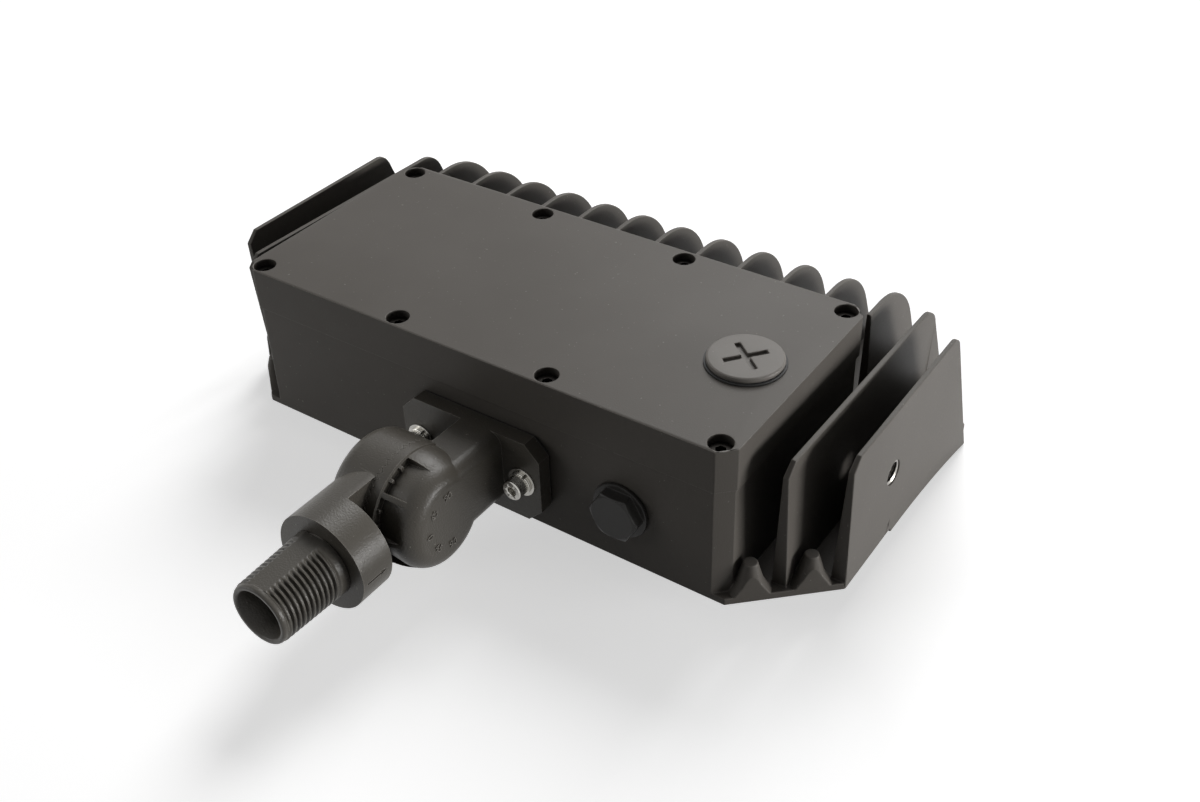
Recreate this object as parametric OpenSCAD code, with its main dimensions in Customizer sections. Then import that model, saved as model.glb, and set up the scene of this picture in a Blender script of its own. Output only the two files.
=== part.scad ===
// Flood light on a tilting knuckle.
// A finned die-cast housing with a screwed driver box cover hangs on a serrated knuckle.
// The knuckle ends in a hollow threaded stem that screws into a conduit hub.
// X runs along the housing, Y from the stem to the fins, Z up.
// The origin is the centre of the threaded stem, the tilt axis is parallel to X.

/* [Threaded stem] */
// Outside diameter of the stem over its thread
stem_d = 21.3; // [19:0.1:24]
// Length of the stem below the collar
stem_len = 25.6; // [20:0.2:32]
// Diameter of the wire passage through the stem
stem_bore_d = 16.6; // [12:0.1:17]
// Chamfer at the stem's free end
stem_chamfer = 0.9; // [0.4:0.1:1.4]

/* [Knuckle] */
// Diameter of the collar between stem and arm
collar_d = 33; // [28:0.5:36]
// Length of the collar
collar_len = 12.4; // [9:0.2:16]
// Distance from the collar's stem side to the tilt axis
shoulder_to_axis = 34.9; // [33:0.1:44]
// Diameter of the toothed rings
ring_d = 39; // [36:0.5:42]
// Inside diameter of the toothed rings
ring_in_d = 31; // [28:0.5:33]
// Number of teeth in each ring
tooth_count = 48; // [24:24:72]
// Axial play between the two rings of teeth
tooth_gap = 0.1; // [0.05:0.05:0.3]
// Flat left on the crest of each tooth
tooth_crest = 0.12; // [0.05:0.01:0.3]
// Distance of the tooth plane from the stem axis
tooth_offset = 2.5; // [1.5:0.1:4]
// Width of the upper half beside the tooth plane
upper_w = 17.5; // [15:0.1:21]
// Width of the lower half beside the tooth plane
lower_w = 17.5; // [16.5:0.1:21]
// Width of the rim behind the upper teeth
rim_w = 4; // [3:0.1:6]
// Width of a rib on the upper half
rib_w = 1.7; // [1:0.1:3]
// Depth of the scooped panels between the ribs
scoop_depth = 2; // [0.8:0.1:2.4]
// Radius of the upper half's flat outer face
face_r = 12.2; // [9:0.1:14]
// Radius of the lower half's flat outer face
dome_face_r = 10.5; // [9.5:0.1:13]
// Height of the arm above the tilt axis
arm_up = 15.1; // [12:0.1:15.1]
// Depth of the arm below the tilt axis
arm_down = 11.4; // [9:0.1:14]
// Rounding of the arm's outer edges
arm_round = 4.5; // [2:0.1:6]

/* [Pivot bolt] */
// Diameter of the pivot bolt
bolt_d = 8; // [6:0.5:9]
// Diameter of the pivot bolt's head
bolt_head_d = 13; // [11:0.5:14]
// Height of the pivot bolt's head
bolt_head_h = 8; // [5:0.5:9]
// Width across the flats of the pivot bolt's socket
bolt_socket = 6; // [4:0.5:6]

/* [Knuckle flange] */
// Width of the flange
flange_w = 55; // [50:0.5:62]
// Thickness of the flange
flange_t = 5.2; // [4:0.1:7]
// Chamfer of the flange's corners
flange_chamfer = 5.3; // [3:0.1:7]
// Distance from the tilt axis to the face of the driver box
axis_to_box = 32.4; // [31.5:0.1:40]
// Thickness of the gasket behind the flange
flange_gasket_t = 0.8; // [0.5:0.1:1.5]
// Distance between the flange screws
flange_screw_pitch = 41.2; // [38:0.2:44]
// Distance of the flange's centre from the housing's centre
flange_offset = 5; // [0:0.5:8]

/* [Cover] */
// Width of the cover
cover_w = 192; // [180:1:210]
// Depth of the cover
cover_d = 88.8; // [82:0.2:96]
// Height of the cover
cover_h = 15.2; // [13:0.2:18]
// Thickness of the cover's top
cover_top = 4; // [3:0.1:4.6]
// Chamfer of the cover's upright corners
cover_chamfer = 5; // [3:0.1:5.2]
// How far the cover stands out over the box
cover_overhang = 0.8; // [0.4:0.1:1.6]
// Screw distance from the cover's ends
cover_screw_x = 5.9; // [5.6:0.1:8]
// Screw distance from the cover's long sides
cover_screw_y = 4.9; // [4.8:0.1:7]
// Distance of the middle screws from the centre
cover_screw_mid = 29.7; // [20:0.1:45]
// Diameter of the screw counterbores
counterbore_d = 7.7; // [7.2:0.1:8.2]
// Depth of the screw counterbores
counterbore_depth = 6.5; // [5:0.1:8]

/* [Driver box] */
// Height from the underside to the top of the cover
total_h = 57.6; // [54:0.2:70]
// Height of the tilt axis over the underside
axis_h = 21.1; // [18:0.1:24]
// Thickness of the box walls
box_wall = 5; // [4:0.1:7]
// Thickness of the box floor
box_floor = 3; // [2.5:0.1:5]
// Thickness of the cover gasket
cover_gasket_t = 1.2; // [0.8:0.1:2]

/* [Base and fins] */
// Width over the two end plates
base_w = 244.8; // [242:0.2:262]
// Thickness of the base's rim
base_t = 2.5; // [2:0.1:4]
// Thickness of the heat sink over the lamp chamber
engine_h = 14.5; // [13.5:0.1:18]
// Number of inner fins
fin_count = 12; // [8:2:12]
// Distance from one inner fin to the next
fin_pitch = 16.8; // [14:0.1:16.9]
// Thickness of a fin at its top
fin_t = 1.6; // [1.2:0.1:2.5]
// Thickness of a fin at its root
fin_root_t = 4; // [3:0.1:5]
// Height of the inner fins
fin_h = 49.5; // [44:0.1:52]
// Distance of the inner fins' back corner from the box face
fin_back = 124.3; // [118:0.1:128]
// Rounding of the inner fins' back corner
fin_round = 27.7; // [15:0.1:29]
// Lean of the fins' back edges in degrees
fin_lean = 20.6; // [15:0.1:22]
// Width over the two intermediate plates
inner_plate_w = 216.4; // [214:0.2:220]
// Height of the intermediate plates
inner_plate_h = 50.9; // [46:0.1:52]
// Distance of the intermediate plates' front edge from the box face
inner_plate_front = 14.7; // [12.5:0.1:18]
// Forward lean of the intermediate plates' front edge in degrees
inner_plate_lean = 4; // [0:0.5:5]
// Distance of the intermediate plates' back corner from the box face
inner_plate_back = 112.4; // [106:0.1:114]
// Height of the end plates
end_plate_h = 50.2; // [46:0.1:52]
// Distance of the end plates' front edge from the box face
end_plate_front = 25.8; // [22:0.1:28]
// Forward lean of the end plates' front edge in degrees
end_plate_lean = 2.2; // [0:0.1:4]
// Distance of the end plates' back corner from the box face
end_plate_back = 99.3; // [94:0.1:102]
// How far the end plates hang below the base at their back
end_plate_drop = 8.5; // [5:0.1:12]
// Distance of the end plates' hole from the box face
end_hole_y = 54.9; // [45:0.1:60]
// Height of the end plates' hole over the underside
end_hole_z = 25.2; // [21:0.1:32]
// Diameter of the end plates' tapped hole
end_hole_d = 8.5; // [6:0.1:10]

/* [Plugs] */
// Diameter of the closure plug's head
closure_d = 24.3; // [22:0.1:27]
// Thickness of the closure plug's head
closure_t = 1.7; // [1.2:0.1:3]
// Distance of the closure plug from the cover's centre to the right
closure_x = 76.8; // [60:0.1:77.5]
// Distance of the closure plug behind the box face
closure_y = 41.7; // [30:0.1:55]
// Length of the closure plug's crossed slots
closure_slot_len = 14.4; // [10:0.1:18]
// Turn of the closure plug's slots in degrees
closure_slot_turn = 50.5; // [0:0.5:90]
// Distance of the hex plug from the housing's centre
hex_x = 58.8; // [50:0.1:70]
// Width of the hex plug over its flats
hex_af = 15.4; // [13:0.1:16.5]
// Height of the hex plug's head
hex_h = 4.2; // [3:0.1:6]
// Diameter of the hex plug's collar
hex_flange_d = 19.4; // [18:0.1:22]
// Thickness of the hex plug's collar
hex_flange_t = 1.4; // [1:0.1:2.5]

/* [Lamp] */
// Distance from the window's ends to the end plates' outer faces
window_end = 24.4; // [23.4:0.1:32]
// Depth of the window
window_d = 60; // [50:0.5:60]
// Distance of the window's centre from the box face
window_y = 96; // [95:0.1:97]
// Thickness of the glass
glass_t = 3.2; // [2.5:0.1:4]
// Thickness of the lens frame
frame_t = 2.5; // [2:0.1:3.5]
// Number of light emitters in a row
led_columns = 12; // [8:1:12]
// Number of rows of light emitters
led_rows = 3; // [2:1:3]

/* [Driver] */
// Room between each end of the driver's can and the box wall
driver_end = 19.2; // [15:0.1:26]
// Width of the driver's can
driver_w = 40; // [30:0.5:44]
// Height of the driver's can
driver_h = 29; // [22:0.5:32]

/* [Hidden] */
$fn = 96;

bronze = [0.23, 0.21, 0.19];
bronze_light = [0.34, 0.32, 0.30];
steel = [0.78, 0.78, 0.76];
black = [0.06, 0.06, 0.06];
silicone = [0.16, 0.16, 0.17];

// Shared clearances
overrun = 1;
screw_fit = 0.05;
bolt_play = 0.3;

// Sides of a hexagon
hex_sides = 6;

// Screws of the M4 size and washers to suit
m4_d = 4;
m4_head_d = 7;
m4_head_h = 4;
m4_socket = 3;
m4_socket_depth = 2.2;
m4_play = 0.25;
washer_d = 10;
washer_t = 0.8;
lock_washer_d = 8;
lock_washer_t = 1.1;
flange_screw_len = 15;
cover_screw_len = 18;
small_screw_len = 8;
m3_d = 3;
m3_head_d = 5.5;
m3_head_h = 1.6;
m3_socket = 2;
m3_socket_depth = 1;
boss_wall = 3.5;
boss_r = m4_d / 2 + boss_wall;

// Frames of the knuckle and of the housing
stem_r = stem_d / 2;
collar_y = stem_len / 2;
axis_y = collar_y + shoulder_to_axis;
box_y = axis_y + axis_to_box;
head_x = 2;
ring_r = ring_d / 2;
ring_in_r = ring_in_d / 2;
collar_r = collar_d / 2;
collar_x = -tooth_offset;
flange_h = 2 * arm_up;

// Tooth form: flanks at 45 degrees, apex lines that meet on the tilt axis
tooth_h = PI * ring_r / tooth_count;
tooth_tilt = atan(tooth_h / 2 / ring_r);
tooth_face = tooth_h / 2 - tooth_crest;
half_tooth_turn = 180 / tooth_count;

// Wire chamber in the two halves
hub_wall = 2.5;
chamber_wall = 1;
hub_r = bolt_d / 2 + hub_wall;
chamber_r = ring_in_r - chamber_wall;
upper_chamber = 8;
lower_chamber = 4.5;
wire_r = 4.2;
arm_wire_r = 4.8;
arm_inner = 1.6;
arm_cut = 0.8;
head_recess_share = 0.45;
dome_shoulder_share = 0.66;
scoop_bulge_share = 0.55;
scoop_rise_share = 0.35;
rim_edge = 0.5;
bolt_reach_share = 0.72;

// Box and cover
box_w = cover_w - 2 * cover_overhang;
box_d = cover_d - 2 * cover_overhang;
box_h = total_h - cover_h;
box_chamfer = cover_chamfer - cover_overhang * tan(22.5);
gasket_lip = 1;
wire_hole_r = arm_wire_r;
gasket_hole_r = arm_wire_r + gasket_lip;
box_boss_depth = 14;
flange_boss_depth = 8;
driver_l = box_w - 2 * (box_wall + driver_end);
driver_post_d = 9;
driver_post_h = 3;
driver_ear_t = 1.5;
driver_ear_l = 9;
driver_round = 3;
driver_gap = 1.5;
driver_y = box_d / 2 + cover_d / 2 - cover_screw_y - boss_r - driver_gap - driver_w / 2;
driver_z = engine_h + driver_post_h;
cover_gap = 1;

// Plan of the base
base_r = base_w / 2;
back_slope = tan(fin_lean);
fin_foot = fin_back + fin_h * back_slope;
inner_plate_foot = inner_plate_back + inner_plate_h * back_slope;
end_plate_foot = end_plate_back + end_plate_h * back_slope;
fin_half_row = (fin_count - 1) / 2 * fin_pitch;
plate_t = 1.6;
plate_root_t = 5.2;
plate_round = 6;
inner_plate_round = 10;
plate_chamfer = 4.1;
inner_plate_fall = 2.2;
corner_fin_gap = 9;
engine_front = 56;
lip_start = 1.8;
lip_front_share = 0.92;
lip_steps = 8;
lip_notch = 4.5;
lip_notch_w = 5;
floor_boss_foot_r = 6.4;
floor_boss_top_r = 2.2;
floor_boss_flare_share = 0.35;
floor_boss_waist_share = 0.5;
floor_boss_h = 11;
floor_boss_in = 4.5;

// Lamp chamber, from the underside up
window_w = base_w - 2 * window_end;
lens_margin = 3.5;
frame_margin = 6;
lens_gasket_t = 1;
gasket_w = 3.2;
frame_chamfer = 9;
glass_play = 0.3;
glass_chamfer = 5;
chamber_top = 10.4;
board_t = 1.6;
board_margin = 2.5;
emitter = 3.5;
emitter_t = 0.9;
led_edge = 12.2;
led_side = 12;
led_pitch_x = (window_w - 2 * led_edge) / (led_columns - 1);
led_pitch_y = (window_d - 2 * led_side) / (led_rows - 1);
optic_t = 1.2;
optic_r = 5.4;
optic_rise = 1.6;
optic_gap = 0.6;
optic_play = 0.4;

// Closure and hex plugs
closure_gasket_t = 0.6;
closure_gasket_over = 0.65;
closure_stub_r = 9.6;
closure_stub_len = 8.5;
closure_boss_wall = 2.6;
closure_slot_w = 1.9;
closure_slot_depth = 1.2;
closure_edge = 0.5;
hex_stub_r = 6.8;
hex_stub_len = 9;
hex_chamfer = 0.7;
hex_seal_t = 1;
hex_seal_w = 1.2;

// Places the children in the knuckle's frame: tilt axis along X, tooth plane at zero
module at_knuckle() {
    translate([tooth_offset, axis_y, 0]) children();
}

// Places the children in the housing's frame: middle in X, box face in Y, underside in Z
module at_housing() {
    translate([head_x, box_y, -axis_h]) children();
}

// Turns an outline of radius and height pairs about the X axis
module turned_x(outline) {
    rotate([0, 90, 0]) rotate_extrude() polygon(outline);
}

// Cylinder that runs along +X from the origin
module rod_x(r, h) {
    rotate([0, 90, 0]) cylinder(r = r, h = h);
}

// Cylinder that runs along +Y from the origin
module rod_y(r, h) {
    rotate([-90, 0, 0]) cylinder(r = r, h = h);
}

// Points of a quarter ellipse from the X side to the Y side
function quarter(cx, cy, rx, ry, steps = 10) = [
    for (i = [0 : steps]) [cx + rx * cos(90 * i / steps), cy + ry * sin(90 * i / steps)]
];

// Rectangle about the origin with its four corners cut off
function cut_corners(w, d, c) = [
    [w / 2 - c, -d / 2], [w / 2, -d / 2 + c], [w / 2, d / 2 - c], [w / 2 - c, d / 2],
    [-w / 2 + c, d / 2], [-w / 2, d / 2 - c], [-w / 2, -d / 2 + c], [-w / 2 + c, -d / 2]
];

// Socket head screw with its head's seat at zero, its head up and its shank down
module socket_screw(d, len, head_d, head_h, socket, socket_depth) {
    difference() {
        union() {
            cylinder(d = head_d, h = head_h);
            translate([0, 0, -len]) cylinder(d = d, h = len + head_h / 2);
        }
        translate([0, 0, head_h - socket_depth])
            cylinder(d = socket / cos(30), h = socket_depth + overrun, $fn = hex_sides);
    }
}

// M4 socket screw of the given length
module m4_screw(len) {
    socket_screw(m4_d, len, m4_head_d, m4_head_h, m4_socket, m4_socket_depth);
}

// Low M3 screw of the given length
module m3_screw(len) {
    socket_screw(m3_d, len, m3_head_d, m3_head_h, m3_socket, m3_socket_depth);
}

// Flat ring with its lower face at zero
module ring(outer_d, inner_d, t) {
    difference() {
        cylinder(d = outer_d, h = t);
        translate([0, 0, -overrun]) cylinder(d = inner_d, h = t + 2 * overrun);
    }
}

// Grooves between the teeth of one ring, open towards -X, apex lines on the tilt axis
module tooth_grooves(turn) {
    reach = tooth_h + 2 * tooth_gap;
    for (i = [0 : tooth_count - 1])
        rotate([turn + i * 360 / tooth_count, 0, 0])
            translate([tooth_gap / 2, 0, 0])
                rotate([0, 0, -tooth_tilt])
                    translate([0, ring_in_r - 2 * chamber_wall, 0])
                        rotate([-90, 0, 0])
                            linear_extrude(ring_r - ring_in_r + 4 * chamber_wall)
                                polygon([[0, 0], [-reach, reach], [-reach, -reach]]);
}

// Outline of the upper half: the proud form of its ribs and back
upper_proud = concat(
    [[0, 0], [ring_r - rim_edge, 0]],
    quarter(face_r, rim_w, ring_r - rim_edge - face_r, upper_w - rim_w),
    [[0, upper_w]]
);

// The body of the upper half: ring, scooped barrel, ribs and the smooth back
module upper_barrel() {
    scoop_r = ring_r - scoop_depth;
    valley_r = scoop_r - scoop_rise_share * scoop_depth;
    bulge_x = rim_w + scoop_bulge_share * (upper_w - rim_w);
    turned_x([[0, -tooth_face], [ring_r, -tooth_face], [ring_r, rim_w - rim_edge],
        [ring_r - rim_edge, rim_w], [0, rim_w]]);
    turned_x(concat([[0, 0], [valley_r, 0], [valley_r, rim_w]],
        quarter(face_r, bulge_x, scoop_r - face_r, upper_w - bulge_x), [[0, upper_w]]));
    intersection() {
        turned_x(upper_proud);
        union() {
            translate([0, -rib_w / 2, -ring_r]) cube([upper_w, ring_r + rib_w, ring_d]);
            for (a = [45, 90, 135])
                rotate([a, 0, 0]) translate([0, -rib_w / 2, 0]) cube([upper_w, rib_w, ring_r]);
        }
    }
}

// Arm from the barrel to the flange, with rounded outer edges
module upper_arm() {
    reach = axis_to_box - flange_gasket_t - flange_t / 2;
    rotate([-90, 0, 0]) linear_extrude(reach) {
        difference() {
            translate([arm_inner, -arm_up]) square([upper_w - arm_inner, arm_up + arm_down]);
            translate([upper_w - arm_round, -arm_up]) arm_corner(-1);
            translate([upper_w - arm_round, arm_down]) arm_corner(1);
        }
    }
}

// Waste outside one rounded corner of the arm's section
module arm_corner(side) {
    difference() {
        translate([0, side < 0 ? -overrun : -arm_round])
            square([arm_round + overrun, arm_round + overrun]);
        translate([0, -side * arm_round]) circle(r = arm_round);
    }
}

// Flange outline in the plane of the box face, middle at its own centre
module flange_2d(inset) {
    polygon(cut_corners(flange_w - 2 * inset, flange_h - 2 * inset,
        flange_chamfer - inset * tan(22.5)));
}

// Stands a flange outline upright, its face towards +Y
module flange_plate(from_y, t, inset) {
    translate([head_x + flange_offset, axis_y + from_y, 0]) rotate([-90, 0, 0])
        linear_extrude(t) flange_2d(inset);
}

// Places the children at the two flange screws, their Z axis towards the stem
module at_flange_screws(y) {
    for (s = [-1, 1])
        translate([head_x + flange_offset + s * flange_screw_pitch / 2, y, 0])
            rotate([90, 0, 0]) children();
}

module knuckle_upper() {
    face_y = axis_to_box - flange_gasket_t;
    bolt_reach = bolt_reach_share * upper_w;
    wire_x = arm_inner + (upper_w - arm_inner) / 2;
    color(bronze) difference() {
        union() {
            flange_plate(face_y - flange_t, flange_t, 0);
            at_knuckle() {
                upper_barrel();
                upper_arm();
            }
        }
        at_knuckle() {
            tooth_grooves(half_tooth_turn);
            // wire chamber round the bolt hub, and the way through the arm
            translate([-overrun, 0, 0]) difference() {
                rod_x(chamber_r, upper_chamber + overrun);
                rod_x(hub_r, upper_chamber + 2 * overrun);
            }
            translate([-overrun, 0, 0]) rod_x(hub_r + overrun, overrun + tooth_gap / 2);
            translate([wire_x, hub_r - arm_wire_r / 2 + arm_wire_r, 0])
                rod_y(arm_wire_r, axis_to_box);
            // tapped hole for the pivot bolt
            translate([-overrun, 0, 0])
                rod_x(bolt_d / 2 + screw_fit, bolt_reach + 2 * overrun);
        }
        at_flange_screws(axis_y + axis_to_box)
            translate([0, 0, -overrun])
                cylinder(d = m4_d + 2 * m4_play, h = flange_t + 3 * overrun);
    }
}

// Outline of the lower half's dome
dome_outline = concat(
    [[0, tooth_face], [ring_r, tooth_face]],
    quarter(dome_face_r, -dome_shoulder_share * lower_w, ring_r - dome_face_r,
        -(1 - dome_shoulder_share) * lower_w),
    [[0, -lower_w]]
);

module knuckle_lower() {
    recess = head_recess_share * lower_w;
    passage_y = -(hub_r + wire_r - hub_wall / 2);
    wire_x = -(arm_cut + wire_r + chamber_wall);
    color(bronze) difference() {
        union() {
            translate([0, -collar_y, 0]) rotate([-90, 0, 0]) {
                cylinder(r1 = stem_r - stem_chamfer, r2 = stem_r, h = stem_chamfer);
                translate([0, 0, stem_chamfer])
                    cylinder(r = stem_r, h = stem_len - stem_chamfer + collar_len / 2);
            }
            translate([0, collar_y, 0]) rod_y(collar_r, collar_len);
            intersection() {
                translate([0, collar_y, 0]) rod_y(collar_r, shoulder_to_axis);
                translate([-collar_r - overrun, collar_y, -collar_r - overrun])
                    cube([collar_r + overrun + tooth_offset - arm_cut, shoulder_to_axis,
                        collar_d + 2 * overrun]);
            }
            at_knuckle() turned_x(dome_outline);
        }
        // wire passage from the stem to the chamber round the bolt hub
        translate([0, -collar_y - overrun, 0])
            rod_y(stem_bore_d / 2, stem_len + collar_len - hub_wall + overrun);
        at_knuckle() {
            translate([wire_x, -shoulder_to_axis + hub_wall, 0])
                rod_y(wire_r, shoulder_to_axis + passage_y - hub_wall);
            mirror([1, 0, 0]) {
                tooth_grooves(0);
                translate([-overrun, 0, 0]) difference() {
                    rod_x(chamber_r, lower_chamber + overrun);
                    rod_x(hub_r, lower_chamber + 2 * overrun);
                }
                translate([-overrun, 0, 0]) rod_x(hub_r + overrun, overrun + tooth_gap / 2);
                translate([-overrun, 0, 0])
                    rod_x(bolt_d / 2 + bolt_play, lower_w + 2 * overrun);
                translate([lower_w - recess, 0, 0])
                    rod_x(bolt_head_d / 2 + bolt_play, recess + collar_r);
            }
        }
    }
}

// Places the children at the floor of the bolt head's recess, Z outwards
module at_bolt_seat(out) {
    recess = head_recess_share * lower_w;
    at_knuckle() translate([recess - lower_w - out, 0, 0]) rotate([0, -90, 0]) children();
}

module pivot_bolt() {
    recess = head_recess_share * lower_w;
    reach = bolt_reach_share * upper_w;
    seat = washer_t + lock_washer_t;
    color(steel) at_bolt_seat(seat)
        socket_screw(bolt_d, seat + lower_w - recess + reach, bolt_head_d, bolt_head_h,
            bolt_socket, bolt_head_h / 2);
}

module pivot_washer() {
    color(steel) at_bolt_seat(0) ring(bolt_head_d, bolt_d + 2 * bolt_play, washer_t);
}

module pivot_lock_washer() {
    color(steel) at_bolt_seat(washer_t)
        ring(bolt_head_d - washer_t, bolt_d + bolt_play, lock_washer_t);
}

module knuckle_gasket() {
    color(silicone) difference() {
        flange_plate(axis_to_box - flange_gasket_t, flange_gasket_t, gasket_lip / 2);
        at_knuckle() translate([arm_inner + (upper_w - arm_inner) / 2, 0, 0])
            rod_y(gasket_hole_r, axis_to_box + overrun);
        at_flange_screws(axis_y + axis_to_box)
            translate([0, 0, -overrun])
                cylinder(d = m4_d + 2 * m4_play, h = flange_gasket_t + 2 * overrun);
    }
}

module knuckle_flat_washers() {
    color(steel) at_flange_screws(axis_y + axis_to_box - flange_gasket_t - flange_t)
        ring(washer_d, m4_d + 2 * m4_play, washer_t);
}

module knuckle_lock_washers() {
    color(steel) at_flange_screws(axis_y + axis_to_box - flange_gasket_t - flange_t - washer_t)
        ring(lock_washer_d, m4_d + m4_play, lock_washer_t);
}

module knuckle_screws() {
    seat = flange_gasket_t + flange_t + washer_t + lock_washer_t;
    color(steel) at_flange_screws(axis_y + axis_to_box - seat) m4_screw(flange_screw_len);
}

// Box outline, drawn in by an inset
module box_2d(inset) {
    translate([0, box_d / 2]) polygon(cut_corners(box_w - 2 * inset, box_d - 2 * inset,
        max(box_chamfer - inset * tan(22.5), overrun)));
}

// Places the children at the eight cover screws
module at_cover_screws() {
    sx = cover_w / 2 - cover_screw_x;
    sy = cover_d / 2 - cover_screw_y;
    for (x = [-sx, -cover_screw_mid, cover_screw_mid, sx], y = [-sy, sy])
        translate([x, box_d / 2 + y]) children();
}

// Land round the box that cover and gasket meet on, with lobes at the screws
module rim_2d(inset) {
    difference() {
        box_2d(inset);
        difference() {
            box_2d(box_wall);
            at_cover_screws() circle(r = boss_r);
        }
    }
}

// Blade outline: distance from the box face against height, back corner rounded
module blade_2d(front, foot_z, top, back, lean, r) {
    half = 45 + lean / 2;
    t = r / tan(half);
    slope = [sin(lean), -cos(lean)];
    centre = [back - t, top - r];
    difference() {
        polygon([[front, foot_z], [front, top], [back, top],
            [back + (top - foot_z) * tan(lean), foot_z]]);
        difference() {
            polygon([[back - t, top + overrun], [back + t, top + overrun],
                [back, top] + slope * t + [overrun, 0], [back, top] + slope * t, centre,
                [back - t, top]]);
            translate(centre) circle(r = r, $fn = 180);
        }
    }
}

// Stands an outline upright across X, between two planes that draw in towards the top
module drafted_blade(x, t, root_t, top, low) {
    intersection() {
        translate([x - root_t / 2, 0, 0]) rotate([90, 0, 90]) linear_extrude(root_t) children();
        translate([x, base_w, 0]) rotate([90, 0, 0]) linear_extrude(2 * base_w)
            polygon([[-root_t / 2, low - overrun], [-root_t / 2, 0], [-t / 2, top + overrun],
                [t / 2, top + overrun], [root_t / 2, 0], [root_t / 2, low - overrun]]);
    }
}

// Stands an outline upright as an outer plate: outer face upright, inner face drawn in
module drafted_plate(x, side, top, low) {
    intersection() {
        translate([side > 0 ? x - plate_root_t : x, 0, 0]) rotate([90, 0, 90])
            linear_extrude(plate_root_t) children();
        translate([x, base_w, 0]) rotate([90, 0, 0]) linear_extrude(2 * base_w)
            polygon([[0, low - overrun], [0, top + overrun], [-side * plate_t, top + overrun],
                [-side * plate_root_t, 0], [-side * plate_root_t, low - overrun]]);
    }
}

// Inner fins behind the driver box; the outermost two stand free of its corners
module inner_fins() {
    for (i = [0 : fin_count - 1]) {
        x = i * fin_pitch - fin_half_row;
        outer = i == 0 || i == fin_count - 1;
        drafted_blade(x, fin_t, fin_root_t, fin_h, 0)
            blade_2d(outer ? box_d + corner_fin_gap : box_d - box_wall / 2, 0, fin_h, fin_back,
                fin_lean, fin_round);
    }
}

// Intermediate plates beside the driver box
module inner_plates() {
    reach = inner_plate_h * tan(inner_plate_lean);
    low_h = inner_plate_h - inner_plate_fall;
    low_back = inner_plate_back + inner_plate_fall * back_slope;
    fall_end = low_back - inner_plate_round / tan(45 + fin_lean / 2);
    for (s = [-1, 1])
        drafted_plate(s * inner_plate_w / 2, s, inner_plate_h, 0) difference() {
            union() {
                blade_2d(inner_plate_front - reach, 0, low_h, low_back, fin_lean,
                    inner_plate_round);
                // the top falls a little towards the rounding
                polygon([[inner_plate_front - reach, low_h - inner_plate_fall],
                    [inner_plate_front - reach, inner_plate_h],
                    [inner_plate_front + plate_chamfer, inner_plate_h], [fall_end, low_h],
                    [fall_end, low_h - inner_plate_fall]]);
            }
            plate_front_waste(inner_plate_front, inner_plate_lean, inner_plate_h);
        }
}

// Slanted front edge of a plate with a chamfer at its top: a waste outline
module plate_front_waste(front, lean, top) {
    reach = (top - plate_chamfer) * tan(lean);
    polygon([[front - reach - overrun, -overrun], [front, 0],
        [front - reach, top - plate_chamfer], [front - reach + plate_chamfer, top],
        [front - reach + plate_chamfer, top + overrun], [front - reach - overrun, top + overrun]]);
}

// Curved lower edge of an end plate: a waste outline below the edge
module end_plate_waste(front) {
    lip_front = end_plate_front + (engine_front - end_plate_front) * lip_front_share;
    lip_back = end_plate_foot + end_plate_drop * back_slope;
    run = lip_back - engine_front;
    polygon(concat(
        [[front - overrun, 0], [lip_front, 0], [engine_front, lip_notch],
            [engine_front + lip_notch_w / 2, -lip_start]],
        [for (i = [1 : lip_steps]) let (u = i / lip_steps)
            [engine_front + lip_notch_w / 2 + u * (run + overrun - lip_notch_w / 2),
                -lip_start - (end_plate_drop - lip_start) * u * u]],
        [[lip_back + overrun, -end_plate_drop - overrun],
            [front - overrun, -end_plate_drop - overrun]]
    ));
}

// End plates with a tapped hole and a curved lower edge
module end_plates() {
    reach = end_plate_h * tan(end_plate_lean);
    for (s = [-1, 1])
        drafted_plate(s * base_w / 2, s, end_plate_h, -end_plate_drop) difference() {
            blade_2d(end_plate_front - reach, -end_plate_drop, end_plate_h, end_plate_back,
                fin_lean, plate_round);
            plate_front_waste(end_plate_front, end_plate_lean, end_plate_h);
            end_plate_waste(end_plate_front - reach);
        }
}

// Plan of the base: front corners cut, back corners stepping in with the fins
module base_2d() {
    fin_x = fin_half_row + fin_root_t / 2;
    in_x = inner_plate_w / 2;
    polygon([
        [box_w / 2, 0], [base_r, end_plate_front], [base_r, end_plate_foot],
        [in_x, inner_plate_foot], [fin_x, fin_foot], [-fin_x, fin_foot],
        [-in_x, inner_plate_foot], [-base_r, end_plate_foot], [-base_r, end_plate_front],
        [-box_w / 2, 0]
    ]);
}

// Plan of the heat sink: its back corners drawn in to stay inside the leaning plates
module engine_2d() {
    fin_x = fin_half_row + fin_root_t / 2;
    in_x = inner_plate_w / 2;
    draw_in = engine_h * back_slope;
    polygon([
        [base_r, engine_front], [base_r, end_plate_foot - draw_in],
        [in_x, inner_plate_foot - draw_in], [fin_x, fin_foot - draw_in], [fin_x, fin_foot],
        [-fin_x, fin_foot], [-fin_x, fin_foot - draw_in], [-in_x, inner_plate_foot - draw_in],
        [-base_r, end_plate_foot - draw_in], [-base_r, engine_front]
    ]);
}

// Heat sink over the lamp chamber, its back following the lean of the fins
module engine_block() {
    intersection() {
        linear_extrude(engine_h) engine_2d();
        translate([-base_r, 0, 0]) rotate([90, 0, 90]) linear_extrude(base_w)
            polygon([[engine_front, 0], [engine_front, engine_h],
                [fin_foot - engine_h * back_slope, engine_h], [fin_foot, 0]]);
    }
}

// Window outline about its own centre, grown by a margin
module window_2d(grow, chamfer) {
    translate([0, window_y]) polygon(cut_corners(window_w + 2 * grow, window_d + 2 * grow,
        chamfer));
}

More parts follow.
